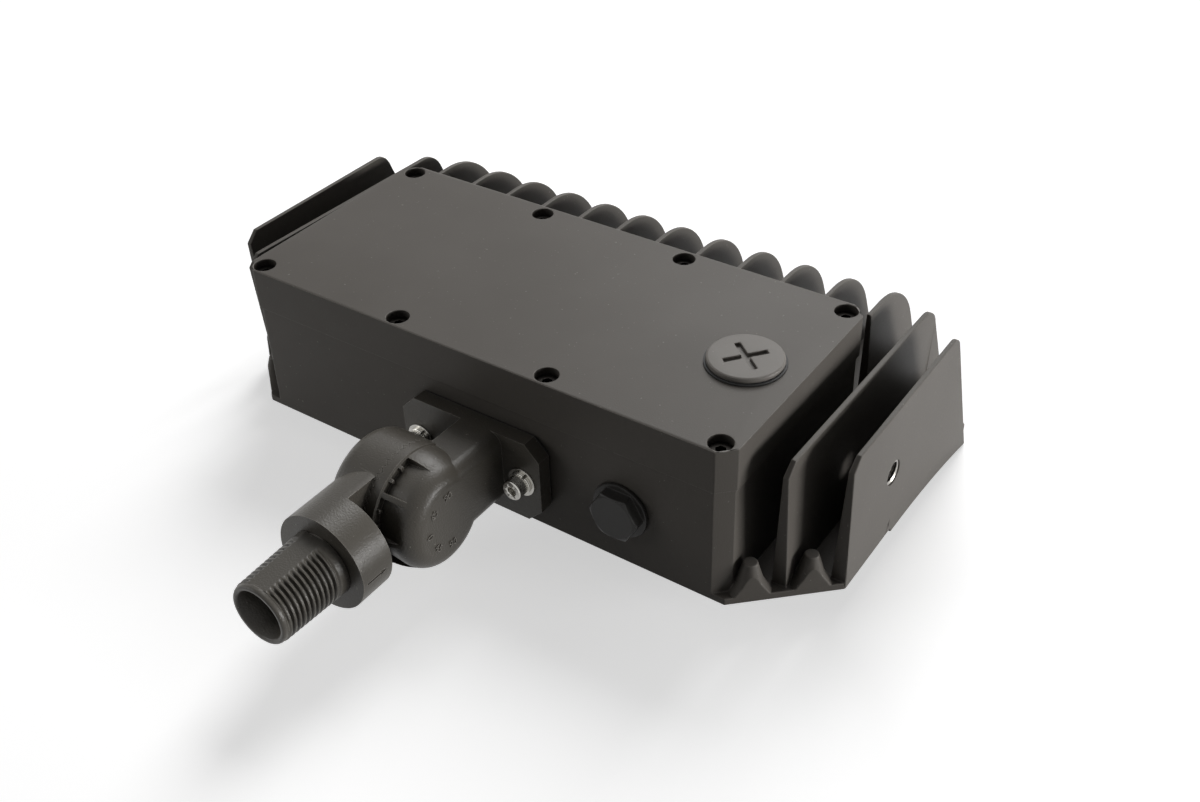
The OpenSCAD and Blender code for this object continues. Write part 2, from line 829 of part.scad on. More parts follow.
// Places the children at the lens frame's screws
module at_frame_screws() {
    edge_x = window_w / 2 + lens_margin + frame_margin / 2;
    edge_y = window_d / 2 + lens_margin + frame_margin / 2;
    for (x = [-window_w * 3 / 8, -window_w / 8, window_w / 8, window_w * 3 / 8], s = [-1, 1])
        translate([x, window_y + s * edge_y]) children();
    for (s = [-1, 1])
        translate([s * edge_x, window_y]) children();
}

// Places the children at the driver's two screws
module at_driver_screws() {
    for (s = [-1, 1])
        translate([s * (driver_l + driver_ear_l) / 2, driver_y]) children();
}

// Places the children at the circuit board's screws
module at_board_screws() {
    for (x = [-led_columns / 2 + 1, 0, led_columns / 2 - 1], s = [-1, 1])
        translate([x * led_pitch_x, window_y + s * (led_pitch_y / 2)]) children();
}

// Place of the earth screw on the box floor
module at_ground_screw() {
    translate([-box_w / 2 + box_wall + box_boss_depth, box_wall + box_boss_depth]) children();
}

// Slab under the housing up to a height
module slab_below(h) {
    translate([0, 0, -overrun]) linear_extrude(h + overrun) square(2 * base_w, center = true);
}

// Base, driver box, heat sink and bosses before anything is cut out
module housing_block() {
    linear_extrude(base_t) base_2d();
    linear_extrude(box_h) box_2d(0);
    engine_block();
    floor_bosses();
    // feet of the inner plates
    intersection() {
        inner_plates();
        slab_below(engine_h);
    }
}

module housing() {
    color(bronze) at_housing() difference() {
        housing_block();
        // driver compartment, open at the top, its back half over the lamp chamber
        difference() {
            translate([0, 0, box_floor]) linear_extrude(box_h) box_2d(box_wall);
            engine_block();
            linear_extrude(box_h) at_cover_screws() circle(r = boss_r);
            linear_extrude(engine_h + driver_post_h)
                at_driver_screws() circle(d = driver_post_d);
            linear_extrude(box_floor + driver_post_h)
                at_ground_screw() circle(d = driver_post_d);
            flange_bosses();
        }
        translate([0, 0, box_h - cover_screw_len + cover_h - counterbore_depth - overrun])
            linear_extrude(box_h) at_cover_screws() circle(d = m4_d + 2 * screw_fit);
        translate([0, 0, engine_h]) linear_extrude(box_h)
            at_driver_screws() circle(d = m4_d + 2 * screw_fit);
        translate([0, 0, box_floor]) linear_extrude(box_h)
            at_ground_screw() circle(d = m4_d + 2 * screw_fit);
        front_holes();
        lamp_recess();
        end_plates();
    }
}

// Fins and inner plates above the heat sink, cast in one with the housing
module housing_fins() {
    color(bronze) at_housing() difference() {
        union() {
            inner_fins();
            inner_plates();
        }
        linear_extrude(box_h) box_2d(0);
        // room for the cover
        translate([0, 0, box_h]) linear_extrude(cover_h + overrun)
            box_2d(-cover_overhang - cover_gap);
        slab_below(engine_h);
    }
}

// End plates with their tapped holes, cast in one with the housing
module housing_end_plates() {
    color(bronze) at_housing() difference() {
        end_plates();
        for (s = [-1, 1])
            translate([s * (base_r - plate_root_t / 2), end_hole_y, end_hole_z])
                translate([-plate_root_t, 0, 0]) rod_x(end_hole_d / 2, 2 * plate_root_t);
    }
}

// Bosses inside the box face behind the flange screws
module flange_bosses() {
    for (s = [-1, 1])
        translate([flange_offset + s * flange_screw_pitch / 2, 0, axis_h])
            rod_y(boss_r, box_wall + flange_boss_depth);
}

// Holes in the box face: flange screws, wire passage and hex plug
module front_holes() {
    wire_x = tooth_offset + arm_inner + (upper_w - arm_inner) / 2 - head_x;
    depth = flange_screw_len - flange_t - flange_gasket_t - washer_t - lock_washer_t;
    for (s = [-1, 1])
        translate([flange_offset + s * flange_screw_pitch / 2, -overrun, axis_h])
            rod_y(m4_d / 2 + screw_fit, depth + 2 * overrun);
    translate([wire_x, -overrun, axis_h]) rod_y(wire_hole_r, box_wall + 2 * overrun);
    translate([hex_x, -overrun, axis_h])
        rod_y(hex_stub_r + screw_fit, box_wall + 2 * overrun);
}

// Stepped recess for emitters, optics and glass, with its screw holes
module lamp_recess() {
    translate([0, 0, -overrun]) {
        linear_extrude(chamber_top + overrun) window_2d(0, glass_chamfer - lens_margin / 2);
        linear_extrude(glass_t + lens_gasket_t + overrun)
            window_2d(lens_margin, glass_chamfer);
        linear_extrude(small_screw_len + overrun)
            at_frame_screws() circle(d = m3_d + 2 * screw_fit);
    }
    translate([0, 0, chamber_top - overrun])
        linear_extrude(small_screw_len - board_t)
            at_board_screws() circle(d = m3_d + 2 * screw_fit);
}

// Distance of the base's slanted front edge from the box face
function base_front_y(x) = (x - box_w / 2) * end_plate_front / (base_r - box_w / 2);

// Flared bosses that stiffen the front of the two outer channels
module floor_bosses() {
    flare = floor_boss_foot_r - floor_boss_top_r;
    intersection() {
        linear_extrude(floor_boss_h + base_t + overrun) base_2d();
        for (s = [-1, 1])
            for (x = [(box_w + inner_plate_w) / 4, (inner_plate_w + base_w) / 4])
                translate([s * (x - plate_root_t / 2),
                    base_front_y(x - plate_root_t / 2) + floor_boss_in, 0])
                    rotate_extrude() polygon([[0, 0], [floor_boss_foot_r, 0],
                        [floor_boss_foot_r, base_t],
                        [floor_boss_top_r + floor_boss_waist_share * flare,
                            base_t + floor_boss_flare_share * floor_boss_h],
                        [floor_boss_top_r, base_t + floor_boss_h], [0, base_t + floor_boss_h]]);
    }
}

module cover() {
    cap = cover_h - cover_top;
    color(bronze_light) at_housing() translate([0, 0, box_h]) difference() {
        linear_extrude(cover_h) box_2d(-cover_overhang);
        difference() {
            translate([0, 0, -overrun]) linear_extrude(cap + overrun) box_2d(box_wall);
            linear_extrude(cap) at_cover_screws() circle(r = boss_r);
            linear_extrude(cap + overrun) translate([closure_x, closure_y])
                circle(r = closure_stub_r + closure_boss_wall);
        }
        translate([0, 0, -overrun]) linear_extrude(cover_gasket_t + overrun)
            box_2d(gasket_lip);
        translate([closure_x, closure_y, -overrun])
            cylinder(r = closure_stub_r + closure_boss_wall + overrun,
                h = overrun + cap - closure_stub_len + cover_top);
        translate([closure_x, closure_y, -overrun])
            cylinder(r = closure_stub_r + screw_fit, h = cover_h + 2 * overrun);
        at_cover_screws() {
            translate([0, 0, -overrun])
                cylinder(d = m4_d + 2 * m4_play, h = cover_h + 2 * overrun);
            translate([0, 0, cover_h - counterbore_depth])
                cylinder(d = counterbore_d, h = counterbore_depth + overrun);
        }
    }
}

module cover_gasket() {
    color(silicone) at_housing() translate([0, 0, box_h]) linear_extrude(cover_gasket_t)
        difference() {
            rim_2d(gasket_lip);
            at_cover_screws() circle(d = m4_d + 2 * m4_play);
        }
}

module cover_screws() {
    color(steel) at_housing() translate([0, 0, box_h + cover_h - counterbore_depth])
        at_cover_screws() m4_screw(cover_screw_len);
}

module closure_gasket() {
    color(silicone) at_housing() translate([closure_x, closure_y, total_h])
        ring(closure_d + 2 * closure_gasket_over, 2 * closure_stub_r + 2 * screw_fit,
            closure_gasket_t);
}

module closure_plug() {
    color(bronze_light) at_housing()
        translate([closure_x, closure_y, total_h + closure_gasket_t]) difference() {
            union() {
                cylinder(d = closure_d, h = closure_t - closure_edge);
                translate([0, 0, closure_t - closure_edge])
                    cylinder(d1 = closure_d, d2 = closure_d - 2 * closure_edge,
                        h = closure_edge);
                translate([0, 0, -closure_stub_len - closure_gasket_t])
                    cylinder(r = closure_stub_r,
                        h = closure_stub_len + closure_gasket_t + closure_t / 2);
            }
            for (a = [0, 90])
                translate([0, 0, closure_t - closure_slot_depth])
                    rotate([0, 0, closure_slot_turn + a])
                        translate([-closure_slot_len / 2, -closure_slot_w / 2, 0])
                            cube([closure_slot_len, closure_slot_w,
                                closure_slot_depth + overrun]);
        }
}

// Places the children at the hex plug, Z towards the stem, zero on the box face
module at_hex_plug() {
    at_housing() translate([hex_x, 0, axis_h]) rotate([90, 0, 0]) children();
}

module hex_plug() {
    color(black) at_hex_plug() difference() {
        union() {
            cylinder(d = hex_flange_d, h = hex_flange_t);
            intersection() {
                cylinder(d = hex_af / cos(30), h = hex_flange_t + hex_h, $fn = hex_sides);
                union() {
                    cylinder(d = hex_flange_d, h = hex_flange_t + hex_h - hex_chamfer);
                    translate([0, 0, hex_flange_t + hex_h - hex_chamfer])
                        cylinder(d1 = hex_af / cos(30), d2 = hex_af - hex_chamfer,
                            h = hex_chamfer);
                }
            }
            translate([0, 0, -hex_stub_len])
                cylinder(r = hex_stub_r, h = hex_stub_len + hex_flange_t);
        }
        translate([0, 0, -overrun])
            ring(2 * (hex_stub_r + hex_seal_w) + hex_seal_w, 2 * hex_stub_r, overrun);
    }
}

module hex_plug_seal() {
    color(silicone) at_hex_plug() translate([0, 0, -box_wall - hex_seal_t])
        ring(2 * (hex_stub_r + hex_seal_w + hex_seal_w), 2 * (hex_stub_r + screw_fit),
            hex_seal_t);
}

module driver() {
    color([0.75, 0.75, 0.74]) at_housing()
        translate([0, driver_y, driver_z]) difference() {
            union() {
                linear_extrude(driver_h)
                    polygon(cut_corners(driver_l, driver_w, driver_round));
                linear_extrude(driver_ear_t)
                    polygon(cut_corners(driver_l + 2 * driver_ear_l, driver_w / 2,
                        driver_round));
            }
            for (s = [-1, 1])
                translate([s * (driver_l + driver_ear_l) / 2, 0, -overrun])
                    cylinder(d = m4_d + 2 * m4_play, h = driver_ear_t + 2 * overrun);
        }
}

module driver_screws() {
    color(steel) at_housing()
        translate([0, 0, driver_z + driver_ear_t])
            at_driver_screws() m4_screw(driver_post_h + driver_ear_t - screw_fit);
}

module ground_screw() {
    color([0.2, 0.5, 0.25]) at_housing()
        translate([0, 0, box_floor + driver_post_h])
            at_ground_screw() m4_screw(driver_post_h - screw_fit);
}

module led_board() {
    color([0.9, 0.9, 0.88]) at_housing() translate([0, 0, chamber_top - board_t])
        linear_extrude(board_t) difference() {
            window_2d(-board_margin, glass_chamfer);
            at_board_screws() circle(d = m3_d + 2 * m4_play);
        }
}

// Places the children at each light emitter
module at_emitters() {
    for (i = [0 : led_columns - 1], j = [0 : led_rows - 1])
        translate([(i - (led_columns - 1) / 2) * led_pitch_x,
            window_y + (j - (led_rows - 1) / 2) * led_pitch_y]) children();
}

module led_emitters() {
    color([0.95, 0.85, 0.4]) at_housing()
        translate([0, 0, chamber_top - board_t - emitter_t])
            at_emitters() translate([-emitter / 2, -emitter / 2, 0])
                cube([emitter, emitter, emitter_t]);
}

module board_screws() {
    color(steel) at_housing() translate([0, 0, chamber_top - board_t])
        at_board_screws() rotate([180, 0, 0]) m3_screw(small_screw_len - board_t - 2 * overrun);
}

module optic_array() {
    seat = chamber_top - board_t - emitter_t - optic_gap;
    color([0.85, 0.9, 0.95, 0.5]) at_housing() difference() {
        union() {
            translate([0, 0, seat - optic_t]) linear_extrude(optic_t)
                window_2d(-optic_play, glass_chamfer);
            translate([0, 0, seat - optic_t - optic_rise])
                at_emitters() cylinder(r1 = optic_r - optic_rise, r2 = optic_r,
                    h = optic_rise + optic_t / 2);
        }
        at_board_screws() translate([0, 0, seat - optic_t - overrun])
            cylinder(d = m3_head_d + 2 * m4_play, h = optic_t + 2 * overrun);
    }
}

module lens_gasket() {
    color(silicone) at_housing() translate([0, 0, glass_t]) linear_extrude(lens_gasket_t)
        difference() {
            window_2d(lens_margin - glass_play, glass_chamfer);
            window_2d(lens_margin - gasket_w, glass_chamfer);
        }
}

module lens_glass() {
    color([0.8, 0.9, 0.95, 0.35]) at_housing() linear_extrude(glass_t)
        window_2d(lens_margin - glass_play, glass_chamfer);
}

module lens_frame() {
    color(bronze) at_housing() translate([0, 0, -frame_t]) difference() {
        linear_extrude(frame_t) difference() {
            window_2d(lens_margin + frame_margin, frame_chamfer);
            window_2d(0, glass_chamfer - lens_margin / 2);
            at_frame_screws() circle(d = m3_d + 2 * m4_play);
        }
        at_frame_screws() translate([0, 0, -overrun])
            cylinder(d = m3_head_d + 2 * m4_play, h = m3_head_h + overrun);
    }
}

module lens_frame_screws() {
    color(steel) at_housing() translate([0, 0, m3_head_h - frame_t])
        at_frame_screws() rotate([180, 0, 0]) m3_screw(small_screw_len);
}

knuckle_lower();
pivot_bolt();
pivot_washer();
pivot_lock_washer();
knuckle_upper();
knuckle_gasket();
knuckle_screws();
knuckle_lock_washers();
knuckle_flat_washers();
housing();
housing_fins();
housing_end_plates();
cover();
cover_gasket();
cover_screws();
closure_plug();
closure_gasket();
hex_plug();
hex_plug_seal();
driver();
driver_screws();
ground_screw();
led_board();
led_emitters();
board_screws();
optic_array();
lens_gasket();
lens_glass();
lens_frame();
lens_frame_screws();
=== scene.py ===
"""Flood light on a serrated tilting knuckle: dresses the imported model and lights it."""

import logging
import math
from collections.abc import Callable, Sequence
from dataclasses import dataclass, field
from enum import Enum

import bmesh
import bpy
from mathutils import Matrix, Vector


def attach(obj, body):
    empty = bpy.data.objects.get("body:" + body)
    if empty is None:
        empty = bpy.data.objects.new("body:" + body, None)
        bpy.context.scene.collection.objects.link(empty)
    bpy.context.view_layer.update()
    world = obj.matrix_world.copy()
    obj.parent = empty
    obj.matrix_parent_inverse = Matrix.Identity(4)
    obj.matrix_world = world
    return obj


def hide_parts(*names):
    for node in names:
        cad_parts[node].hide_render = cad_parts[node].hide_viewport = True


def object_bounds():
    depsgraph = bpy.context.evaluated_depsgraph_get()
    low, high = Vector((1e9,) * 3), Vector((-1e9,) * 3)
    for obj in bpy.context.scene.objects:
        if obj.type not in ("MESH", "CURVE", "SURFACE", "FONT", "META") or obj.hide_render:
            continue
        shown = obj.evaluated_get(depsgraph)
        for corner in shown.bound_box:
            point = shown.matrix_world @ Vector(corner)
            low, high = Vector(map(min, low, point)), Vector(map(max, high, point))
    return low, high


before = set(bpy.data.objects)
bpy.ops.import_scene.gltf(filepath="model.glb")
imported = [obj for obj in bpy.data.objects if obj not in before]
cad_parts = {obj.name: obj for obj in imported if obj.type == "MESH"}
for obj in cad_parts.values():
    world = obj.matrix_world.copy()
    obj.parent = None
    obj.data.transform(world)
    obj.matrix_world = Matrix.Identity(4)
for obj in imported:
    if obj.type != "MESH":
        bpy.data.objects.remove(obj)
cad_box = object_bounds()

LOG = logging.getLogger("flood_light")
MM = 0.001
WELD_MM = 0.002
THREAD_SHARP_DEG = 50
SCREW_SHARP_DEG = 28
Profile = Sequence[tuple[float | Callable[[float], float], float]]
Place = tuple[float, float, float]


class Body(Enum):
    """The two bodies that the tilt joint links."""

    MOUNT = "mount"
    HEAD = "head"


class Slot(Enum):
    """Material slots of the record."""

    BRONZE_PAINT = "bronze_paint"
    CAST_PAINT = "cast_bronze_paint"
    PLUG_PAINT = "plug_paint"
    STAINLESS = "stainless"
    DARK_SCREW = "dark_screw"
    GREEN_SCREW = "green_screw"
    NYLON = "black_nylon"
    SILICONE = "silicone"
    DRIVER_CAN = "driver_can"
    BOARD = "board"
    PHOSPHOR = "phosphor"
    OPTIC = "clear_optic"
    GLASS = "clear_glass"


# ---- Nodes and colours


def linear(code: str) -> tuple[float, float, float, float]:
    """Turns an sRGB hex colour to linear.

    Args:
        code: Six hex digits.

    Returns:
        Red, green, blue and an alpha of one.
    """
    parts = [int(code[i:i + 2], 16) / 255 for i in (0, 2, 4)]
    bent = [p / 12.92 if p <= 0.04045 else ((p + 0.055) / 1.055) ** 2.4 for p in parts]
    return (bent[0], bent[1], bent[2], 1.0)


def per_mm(size: float) -> float:
    """Returns a texture's scale for a pattern whose cell is this many millimetres."""
    return 1 / (size * MM)


def add_node(tree: bpy.types.NodeTree, kind: str, settings: dict | None = None,
             links: dict | None = None) -> bpy.types.Node:
    """Adds one node to a tree.

    Args:
        tree: The node tree.
        kind: The node's type name.
        settings: Values for its properties or its unlinked inputs, by name.
        links: Sockets that feed its inputs, by the input's name or number.

    Returns:
        The new node.
    """
    node = tree.nodes.new(kind)
    for key, value in (settings or {}).items():
        if isinstance(key, str) and key in node.bl_rna.properties:
            setattr(node, key, value)
        else:
            node.inputs[key].default_value = value
    for key, socket in (links or {}).items():
        tree.links.new(socket, node.inputs[key])
    return node


# ---- Finishes


@dataclass(frozen=True)
class Finish:
    """A finish: its material's name and the record's slot that it belongs to."""

    name: str
    slot: Slot

    def material(self) -> bpy.types.Material:
        """Gives the finish's material, which is made on its first use.

        Returns:
            The material.
        """
        made = bpy.data.materials.get(self.name)
        if made is None:
            made = bpy.data.materials.new(self.name)
            made.use_nodes = True
            made.node_tree.nodes.clear()
            self.paint(made.node_tree)
        return made

    def paint(self, tree: bpy.types.NodeTree) -> None:
        """Builds the material's nodes; each finish has its own."""
        raise NotImplementedError(self.name)


@dataclass(frozen=True)
class PowderCoat(Finish):
    """Polyester powder coat on die-cast aluminium, sprayed dry and baked.

    The eye gets a fine orange-peel grain that breaks up the sheen, faint clouds of colour,
    tiny pale specks painted as the glints of a glittering coat, a painted highlight as a paler
    line along each edge, and painted shade as a darker tone in recesses. A range such as
    speck_from to speck_full says where a pattern sets in. Real specks of glitter are about
    0.2 mm across: too fine to show, so they are drawn coarser.
    """

    colour: str
    # pale: the colour the clouds tint towards, and of the painted glint specks and painted edge
    # highlights
    pale: str
    grain_mm: float = 0.5
    grain_depth_mm: float = 0.03
    roughness: float = 0.46
    rough_spread: float = 0.06
    specular: float = 0.14
    cloud_mm: float = 45
    cloud_share: float = 0.12
    cloud_from: float = 0.35
    cloud_full: float = 0.65
    # Pale specks painted as the glints of a glittering coat
    speck_mm: float = 1.1
    glint_speck_share: float = 0.5
    speck_from: float = 0.74
    speck_full: float = 0.8
    # Painted highlight: a paler line along each edge, its width, strength and where it sets in
    edge_highlight_mm: float = 0.45
    edge_highlight_share: float = 0.35
    edge_highlight_from: float = 0.99
    edge_highlight_full: float = 0.8
    # Painted shade: the dark tone laid into recesses, how far occlusion is sought, and where it
    # sets in
    painted_shade: str = "1d1b19"
    painted_shade_mm: float = 24
    painted_shade_full: float = 0.15
    painted_shade_from: float = 0.7
    colour_left_in_painted_shade: float = 0.2

    def paint(self, tree: bpy.types.NodeTree) -> None:
        """Builds grain, clouds, and painted glints, edge highlights and recess shade over a
        coat.

        Args:
            tree: The material's empty node tree.
        """
        at = add_node(tree, "ShaderNodeTexCoord").outputs["Object"]
        grain = add_node(tree, "ShaderNodeTexNoise",
                         {"Scale": per_mm(self.grain_mm), "Detail": 2.0, "Roughness": 0.55},
                         {"Vector": at})
        cloud = add_node(tree, "ShaderNodeTexNoise",
                         {"Scale": per_mm(self.cloud_mm), "Detail": 3.0}, {"Vector": at})
        # Pale specks painted as glints
        speck = add_node(tree, "ShaderNodeTexNoise",
                         {"Scale": per_mm(self.speck_mm), "Detail": 1.0}, {"Vector": at})
        glint_specks = add_node(tree, "ShaderNodeMapRange",
                        {"From Min": self.speck_from, "From Max": self.speck_full,
                         "To Max": self.glint_speck_share},
                        {"Value": speck.outputs["Fac"]})
        drift = add_node(tree, "ShaderNodeMapRange",
                         {"From Min": self.cloud_from, "From Max": self.cloud_full,
                          "To Max": self.cloud_share},
                         {"Value": cloud.outputs["Fac"]})
        # Painted highlight: the colour turns pale where the bevel normal leaves the face's
        # normal, along each edge
        round_edge = add_node(tree, "ShaderNodeBevel",
                              {"samples": 4, "Radius": self.edge_highlight_mm * MM})
        geometry = add_node(tree, "ShaderNodeNewGeometry")
        facing = add_node(tree, "ShaderNodeVectorMath", {"operation": "DOT_PRODUCT"},
                          {0: round_edge.outputs["Normal"], 1: geometry.outputs["Normal"]})
        edge = add_node(tree, "ShaderNodeMapRange",
                        {"From Min": self.edge_highlight_from, "From Max": self.edge_highlight_full,
                         "To Max": self.edge_highlight_share},
                        {"Value": facing.outputs["Value"]})
        most = add_node(tree, "ShaderNodeMath", {"operation": "MAXIMUM"},
                        {0: glint_specks.outputs["Result"], 1: edge.outputs["Result"]})
        share = add_node(tree, "ShaderNodeMath", {"operation": "ADD", "use_clamp": True},
                         {0: most.outputs["Value"], 1: drift.outputs["Result"]})
        colour = add_node(tree, "ShaderNodeMix",
                          {"data_type": "RGBA", 6: linear(self.colour),
                           7: linear(self.pale)}, {0: share.outputs["Value"]})
        # Painted shade: the colour turns towards a dark tone where ambient occlusion finds the
        # surface enclosed, as in recesses, creases and bores
        occlusion = add_node(tree, "ShaderNodeAmbientOcclusion",
                         {"samples": 4, "Distance": self.painted_shade_mm * MM})
        unshaded_share = add_node(tree, "ShaderNodeMapRange",
                              {"From Min": self.painted_shade_full, "From Max": self.painted_shade_from,
                               "To Min": self.colour_left_in_painted_shade},
                              {"Value": occlusion.outputs["AO"]})
        shaded_colour = add_node(tree, "ShaderNodeMix", {"data_type": "RGBA", 6: linear(self.painted_shade)},
                         {7: colour.outputs[2], 0: unshaded_share.outputs["Result"]})
        sheen = add_node(tree, "ShaderNodeMapRange",
                         {"To Min": self.roughness - self.rough_spread,
                          "To Max": self.roughness + self.rough_spread},
                         {"Value": grain.outputs["Fac"]})
        bump = add_node(tree, "ShaderNodeBump",
                        {"Strength": 1.0, "Distance": self.grain_depth_mm * MM},
                        {"Height": grain.outputs["Fac"]})
        coat = add_node(tree, "ShaderNodeBsdfPrincipled",
                        {"IOR": 1.5, "Specular IOR Level": self.specular},
                        {"Base Color": shaded_colour.outputs[2], "Roughness": sheen.outputs["Result"],
                         "Normal": bump.outputs["Normal"]})
        add_node(tree, "ShaderNodeOutputMaterial", {}, {"Surface": coat.outputs["BSDF"]})


@dataclass(frozen=True)
class Metal(Finish):
    """Bare metal, turned or rolled: fine tool marks break up a bright reflection.

    Real tool marks lie about 0.05 mm apart: too fine to show, so they are drawn coarser.
    """

    colour: str
    dark: str
    roughness: float = 0.24
    smoother: float = 0.08
    rougher: float = 0.1
    line_mm: float = 0.12
    line_depth_mm: float = 0.004
    patch_mm: float = 3.0

    def paint(self, tree: bpy.types.NodeTree) -> None:
        """Builds patchy roughness and fine lines over a metal.

        Args:
            tree: The material's empty node tree.
        """
        at = add_node(tree, "ShaderNodeTexCoord").outputs["Object"]
        lines = add_node(tree, "ShaderNodeTexNoise",
                         {"Scale": per_mm(self.line_mm), "Detail": 1.0}, {"Vector": at})
        patch = add_node(tree, "ShaderNodeTexNoise",
                         {"Scale": per_mm(self.patch_mm), "Detail": 3.0}, {"Vector": at})
        colour = add_node(tree, "ShaderNodeMix",
                          {"data_type": "RGBA", 6: linear(self.dark),
                           7: linear(self.colour)}, {0: patch.outputs["Fac"]})
        rough = add_node(tree, "ShaderNodeMapRange",
                         {"To Min": self.roughness - self.smoother,
                          "To Max": self.roughness + self.rougher},
                         {"Value": patch.outputs["Fac"]})
        bump = add_node(tree, "ShaderNodeBump",
                        {"Strength": 0.6, "Distance": self.line_depth_mm * MM},
                        {"Height": lines.outputs["Fac"]})
        metal = add_node(tree, "ShaderNodeBsdfPrincipled", {"Metallic": 1.0},
                         {"Base Color": colour.outputs[2], "Roughness": rough.outputs["Result"],
                          "Normal": bump.outputs["Normal"]})
        add_node(tree, "ShaderNodeOutputMaterial", {}, {"Surface": metal.outputs["BSDF"]})


@dataclass(frozen=True)
class Moulded(Finish):
    """Moulded polymer: an even skin with a faint spark-eroded texture from its mould."""

    colour: str
    pale: str
    roughness: float = 0.4
    rough_spread: float = 0.05
    specular: float = 0.5
    ior: float = 1.5
    skin_mm: float = 0.4
    skin_depth_mm: float = 0.012
    patch_mm: float = 6.0

    def paint(self, tree: bpy.types.NodeTree) -> None:
        """Builds a mottled skin with fine texture over a dielectric.

        Args:
            tree: The material's empty node tree.
        """
        at = add_node(tree, "ShaderNodeTexCoord").outputs["Object"]
        skin = add_node(tree, "ShaderNodeTexNoise",
                        {"Scale": per_mm(self.skin_mm), "Detail": 2.0}, {"Vector": at})
        patch = add_node(tree, "ShaderNodeTexNoise",
                         {"Scale": per_mm(self.patch_mm), "Detail": 2.0}, {"Vector": at})
        colour = add_node(tree, "ShaderNodeMix",
                          {"data_type": "RGBA", 6: linear(self.colour),
                           7: linear(self.pale)}, {0: patch.outputs["Fac"]})
        rough = add_node(tree, "ShaderNodeMapRange",
                         {"To Min": self.roughness - self.rough_spread,
                          "To Max": self.roughness + self.rough_spread},
                         {"Value": skin.outputs["Fac"]})
        bump = add_node(tree, "ShaderNodeBump",
                        {"Strength": 1.0, "Distance": self.skin_depth_mm * MM},
                        {"Height": skin.outputs["Fac"]})
        body = add_node(tree, "ShaderNodeBsdfPrincipled",
                        {"IOR": self.ior, "Specular IOR Level": self.specular},
                        {"Base Color": colour.outputs[2], "Roughness": rough.outputs["Result"],
                         "Normal": bump.outputs["Normal"]})
        add_node(tree, "ShaderNodeOutputMaterial", {}, {"Surface": body.outputs["BSDF"]})


@dataclass(frozen=True)
class Clear(Finish):
    """Clear optic or glass: light passes, with a faint tint and a polished skin."""

    tint: str
    ior: float
    roughness: float = 0.03
    rougher: float = 0.02
    ripple_mm: float = 25
    ripple_depth_mm: float = 0.01

    def paint(self, tree: bpy.types.NodeTree) -> None:
        """Builds a see-through dielectric with a very slight ripple.

        Args:
            tree: The material's empty node tree.
        """
        at = add_node(tree, "ShaderNodeTexCoord").outputs["Object"]
        ripple = add_node(tree, "ShaderNodeTexNoise",
                          {"Scale": per_mm(self.ripple_mm), "Detail": 1.0}, {"Vector": at})
        bump = add_node(tree, "ShaderNodeBump",
                        {"Strength": 0.3, "Distance": self.ripple_depth_mm * MM},
                        {"Height": ripple.outputs["Fac"]})
        colour = add_node(tree, "ShaderNodeMix",
                          {"data_type": "RGBA", 6: linear(self.tint),
                           7: linear("ffffff")}, {0: ripple.outputs["Fac"]})
        rough = add_node(tree, "ShaderNodeMapRange",
                         {"To Min": self.roughness, "To Max": self.roughness + self.rougher},
                         {"Value": ripple.outputs["Fac"]})
        glass = add_node(tree, "ShaderNodeBsdfPrincipled",
                         {"IOR": self.ior, "Transmission Weight": 1.0},
                         {"Base Color": colour.outputs[2], "Roughness": rough.outputs["Result"],
                          "Normal": bump.outputs["Normal"]})
        add_node(tree, "ShaderNodeOutputMaterial", {}, {"Surface": glass.outputs["BSDF"]})


# The head: satin warm grey, with painted shade in its recesses, painted highlights along its
# crisp edges and pale specks painted as glints
BRONZE = PowderCoat("bronze_powder_coat", Slot.BRONZE_PAINT, "5c5853", "a5a19c",
                    cloud_share=0.05, glint_speck_share=0.35, edge_highlight_share=0.5)
# Coarser: the rougher casting under its coat sparkles more in its bump and sheen; more pale
# specks painted as glints, stronger painted edge highlights, and painted shade in its creases
# and bore
CAST_BRONZE = PowderCoat("cast_bronze_powder_coat", Slot.CAST_PAINT, "4a463f", "aaa59d",
                         grain_mm=0.6, grain_depth_mm=0.1, roughness=0.38, specular=0.35,
                         cloud_share=0.05, glint_speck_share=0.5, edge_highlight_share=0.6, painted_shade_mm=13)
# Paler and smoother, so the plug stands out on the cover; painted shade darkens its slots
PLUG_COAT = PowderCoat("plug_powder_coat", Slot.PLUG_PAINT, "7d7974", "a39f9a",
                       grain_depth_mm=0.015, roughness=0.42, painted_shade_mm=6)
# Bright glints at the screws and washers
STAINLESS = Metal("turned_stainless", Slot.STAINLESS, "d2d0cb", "a7a5a0")
# Threads are cut after the casting is coated, so they glint as bare aluminium
TAPPED = Metal("tapped_aluminium", Slot.BRONZE_PAINT, "b5b2ad", "8f8c87", roughness=0.3)
# Nearly black: dark screw steel, darkened further as painted shade, so the screws hardly show
# at the bottom of their holes
DARK_SCREW = Metal("blackened_screw_steel_with_painted_shade", Slot.DARK_SCREW, "211f1d", "131211",
                   roughness=0.42)
# Green, as an earth screw is marked
GREEN_SCREW = Moulded("green_lacquered_screw", Slot.GREEN_SCREW, "1f6b35", "2b8546")
# Soft black with dim highlights on the hex plug's faces
NYLON = Moulded("moulded_black_nylon", Slot.NYLON, "161513", "201e1c", roughness=0.46,
                 specular=0.3)
# Dull dark grey: a thin line under what it seals
SILICONE = Moulded("pressed_grey_silicone", Slot.SILICONE, "262626", "333333",
                   roughness=0.62, ior=1.41)
# Pale pressed metal with a broad, soft sheen
DRIVER_CAN = Metal("pressed_aluminium_can", Slot.DRIVER_CAN, "c4c4c2", "a0a09e",
                   roughness=0.38)
# White behind the optics, which brightens the window
BOARD = Moulded("white_board_lacquer", Slot.BOARD, "d8d9d4", "e6e6e2", roughness=0.34)
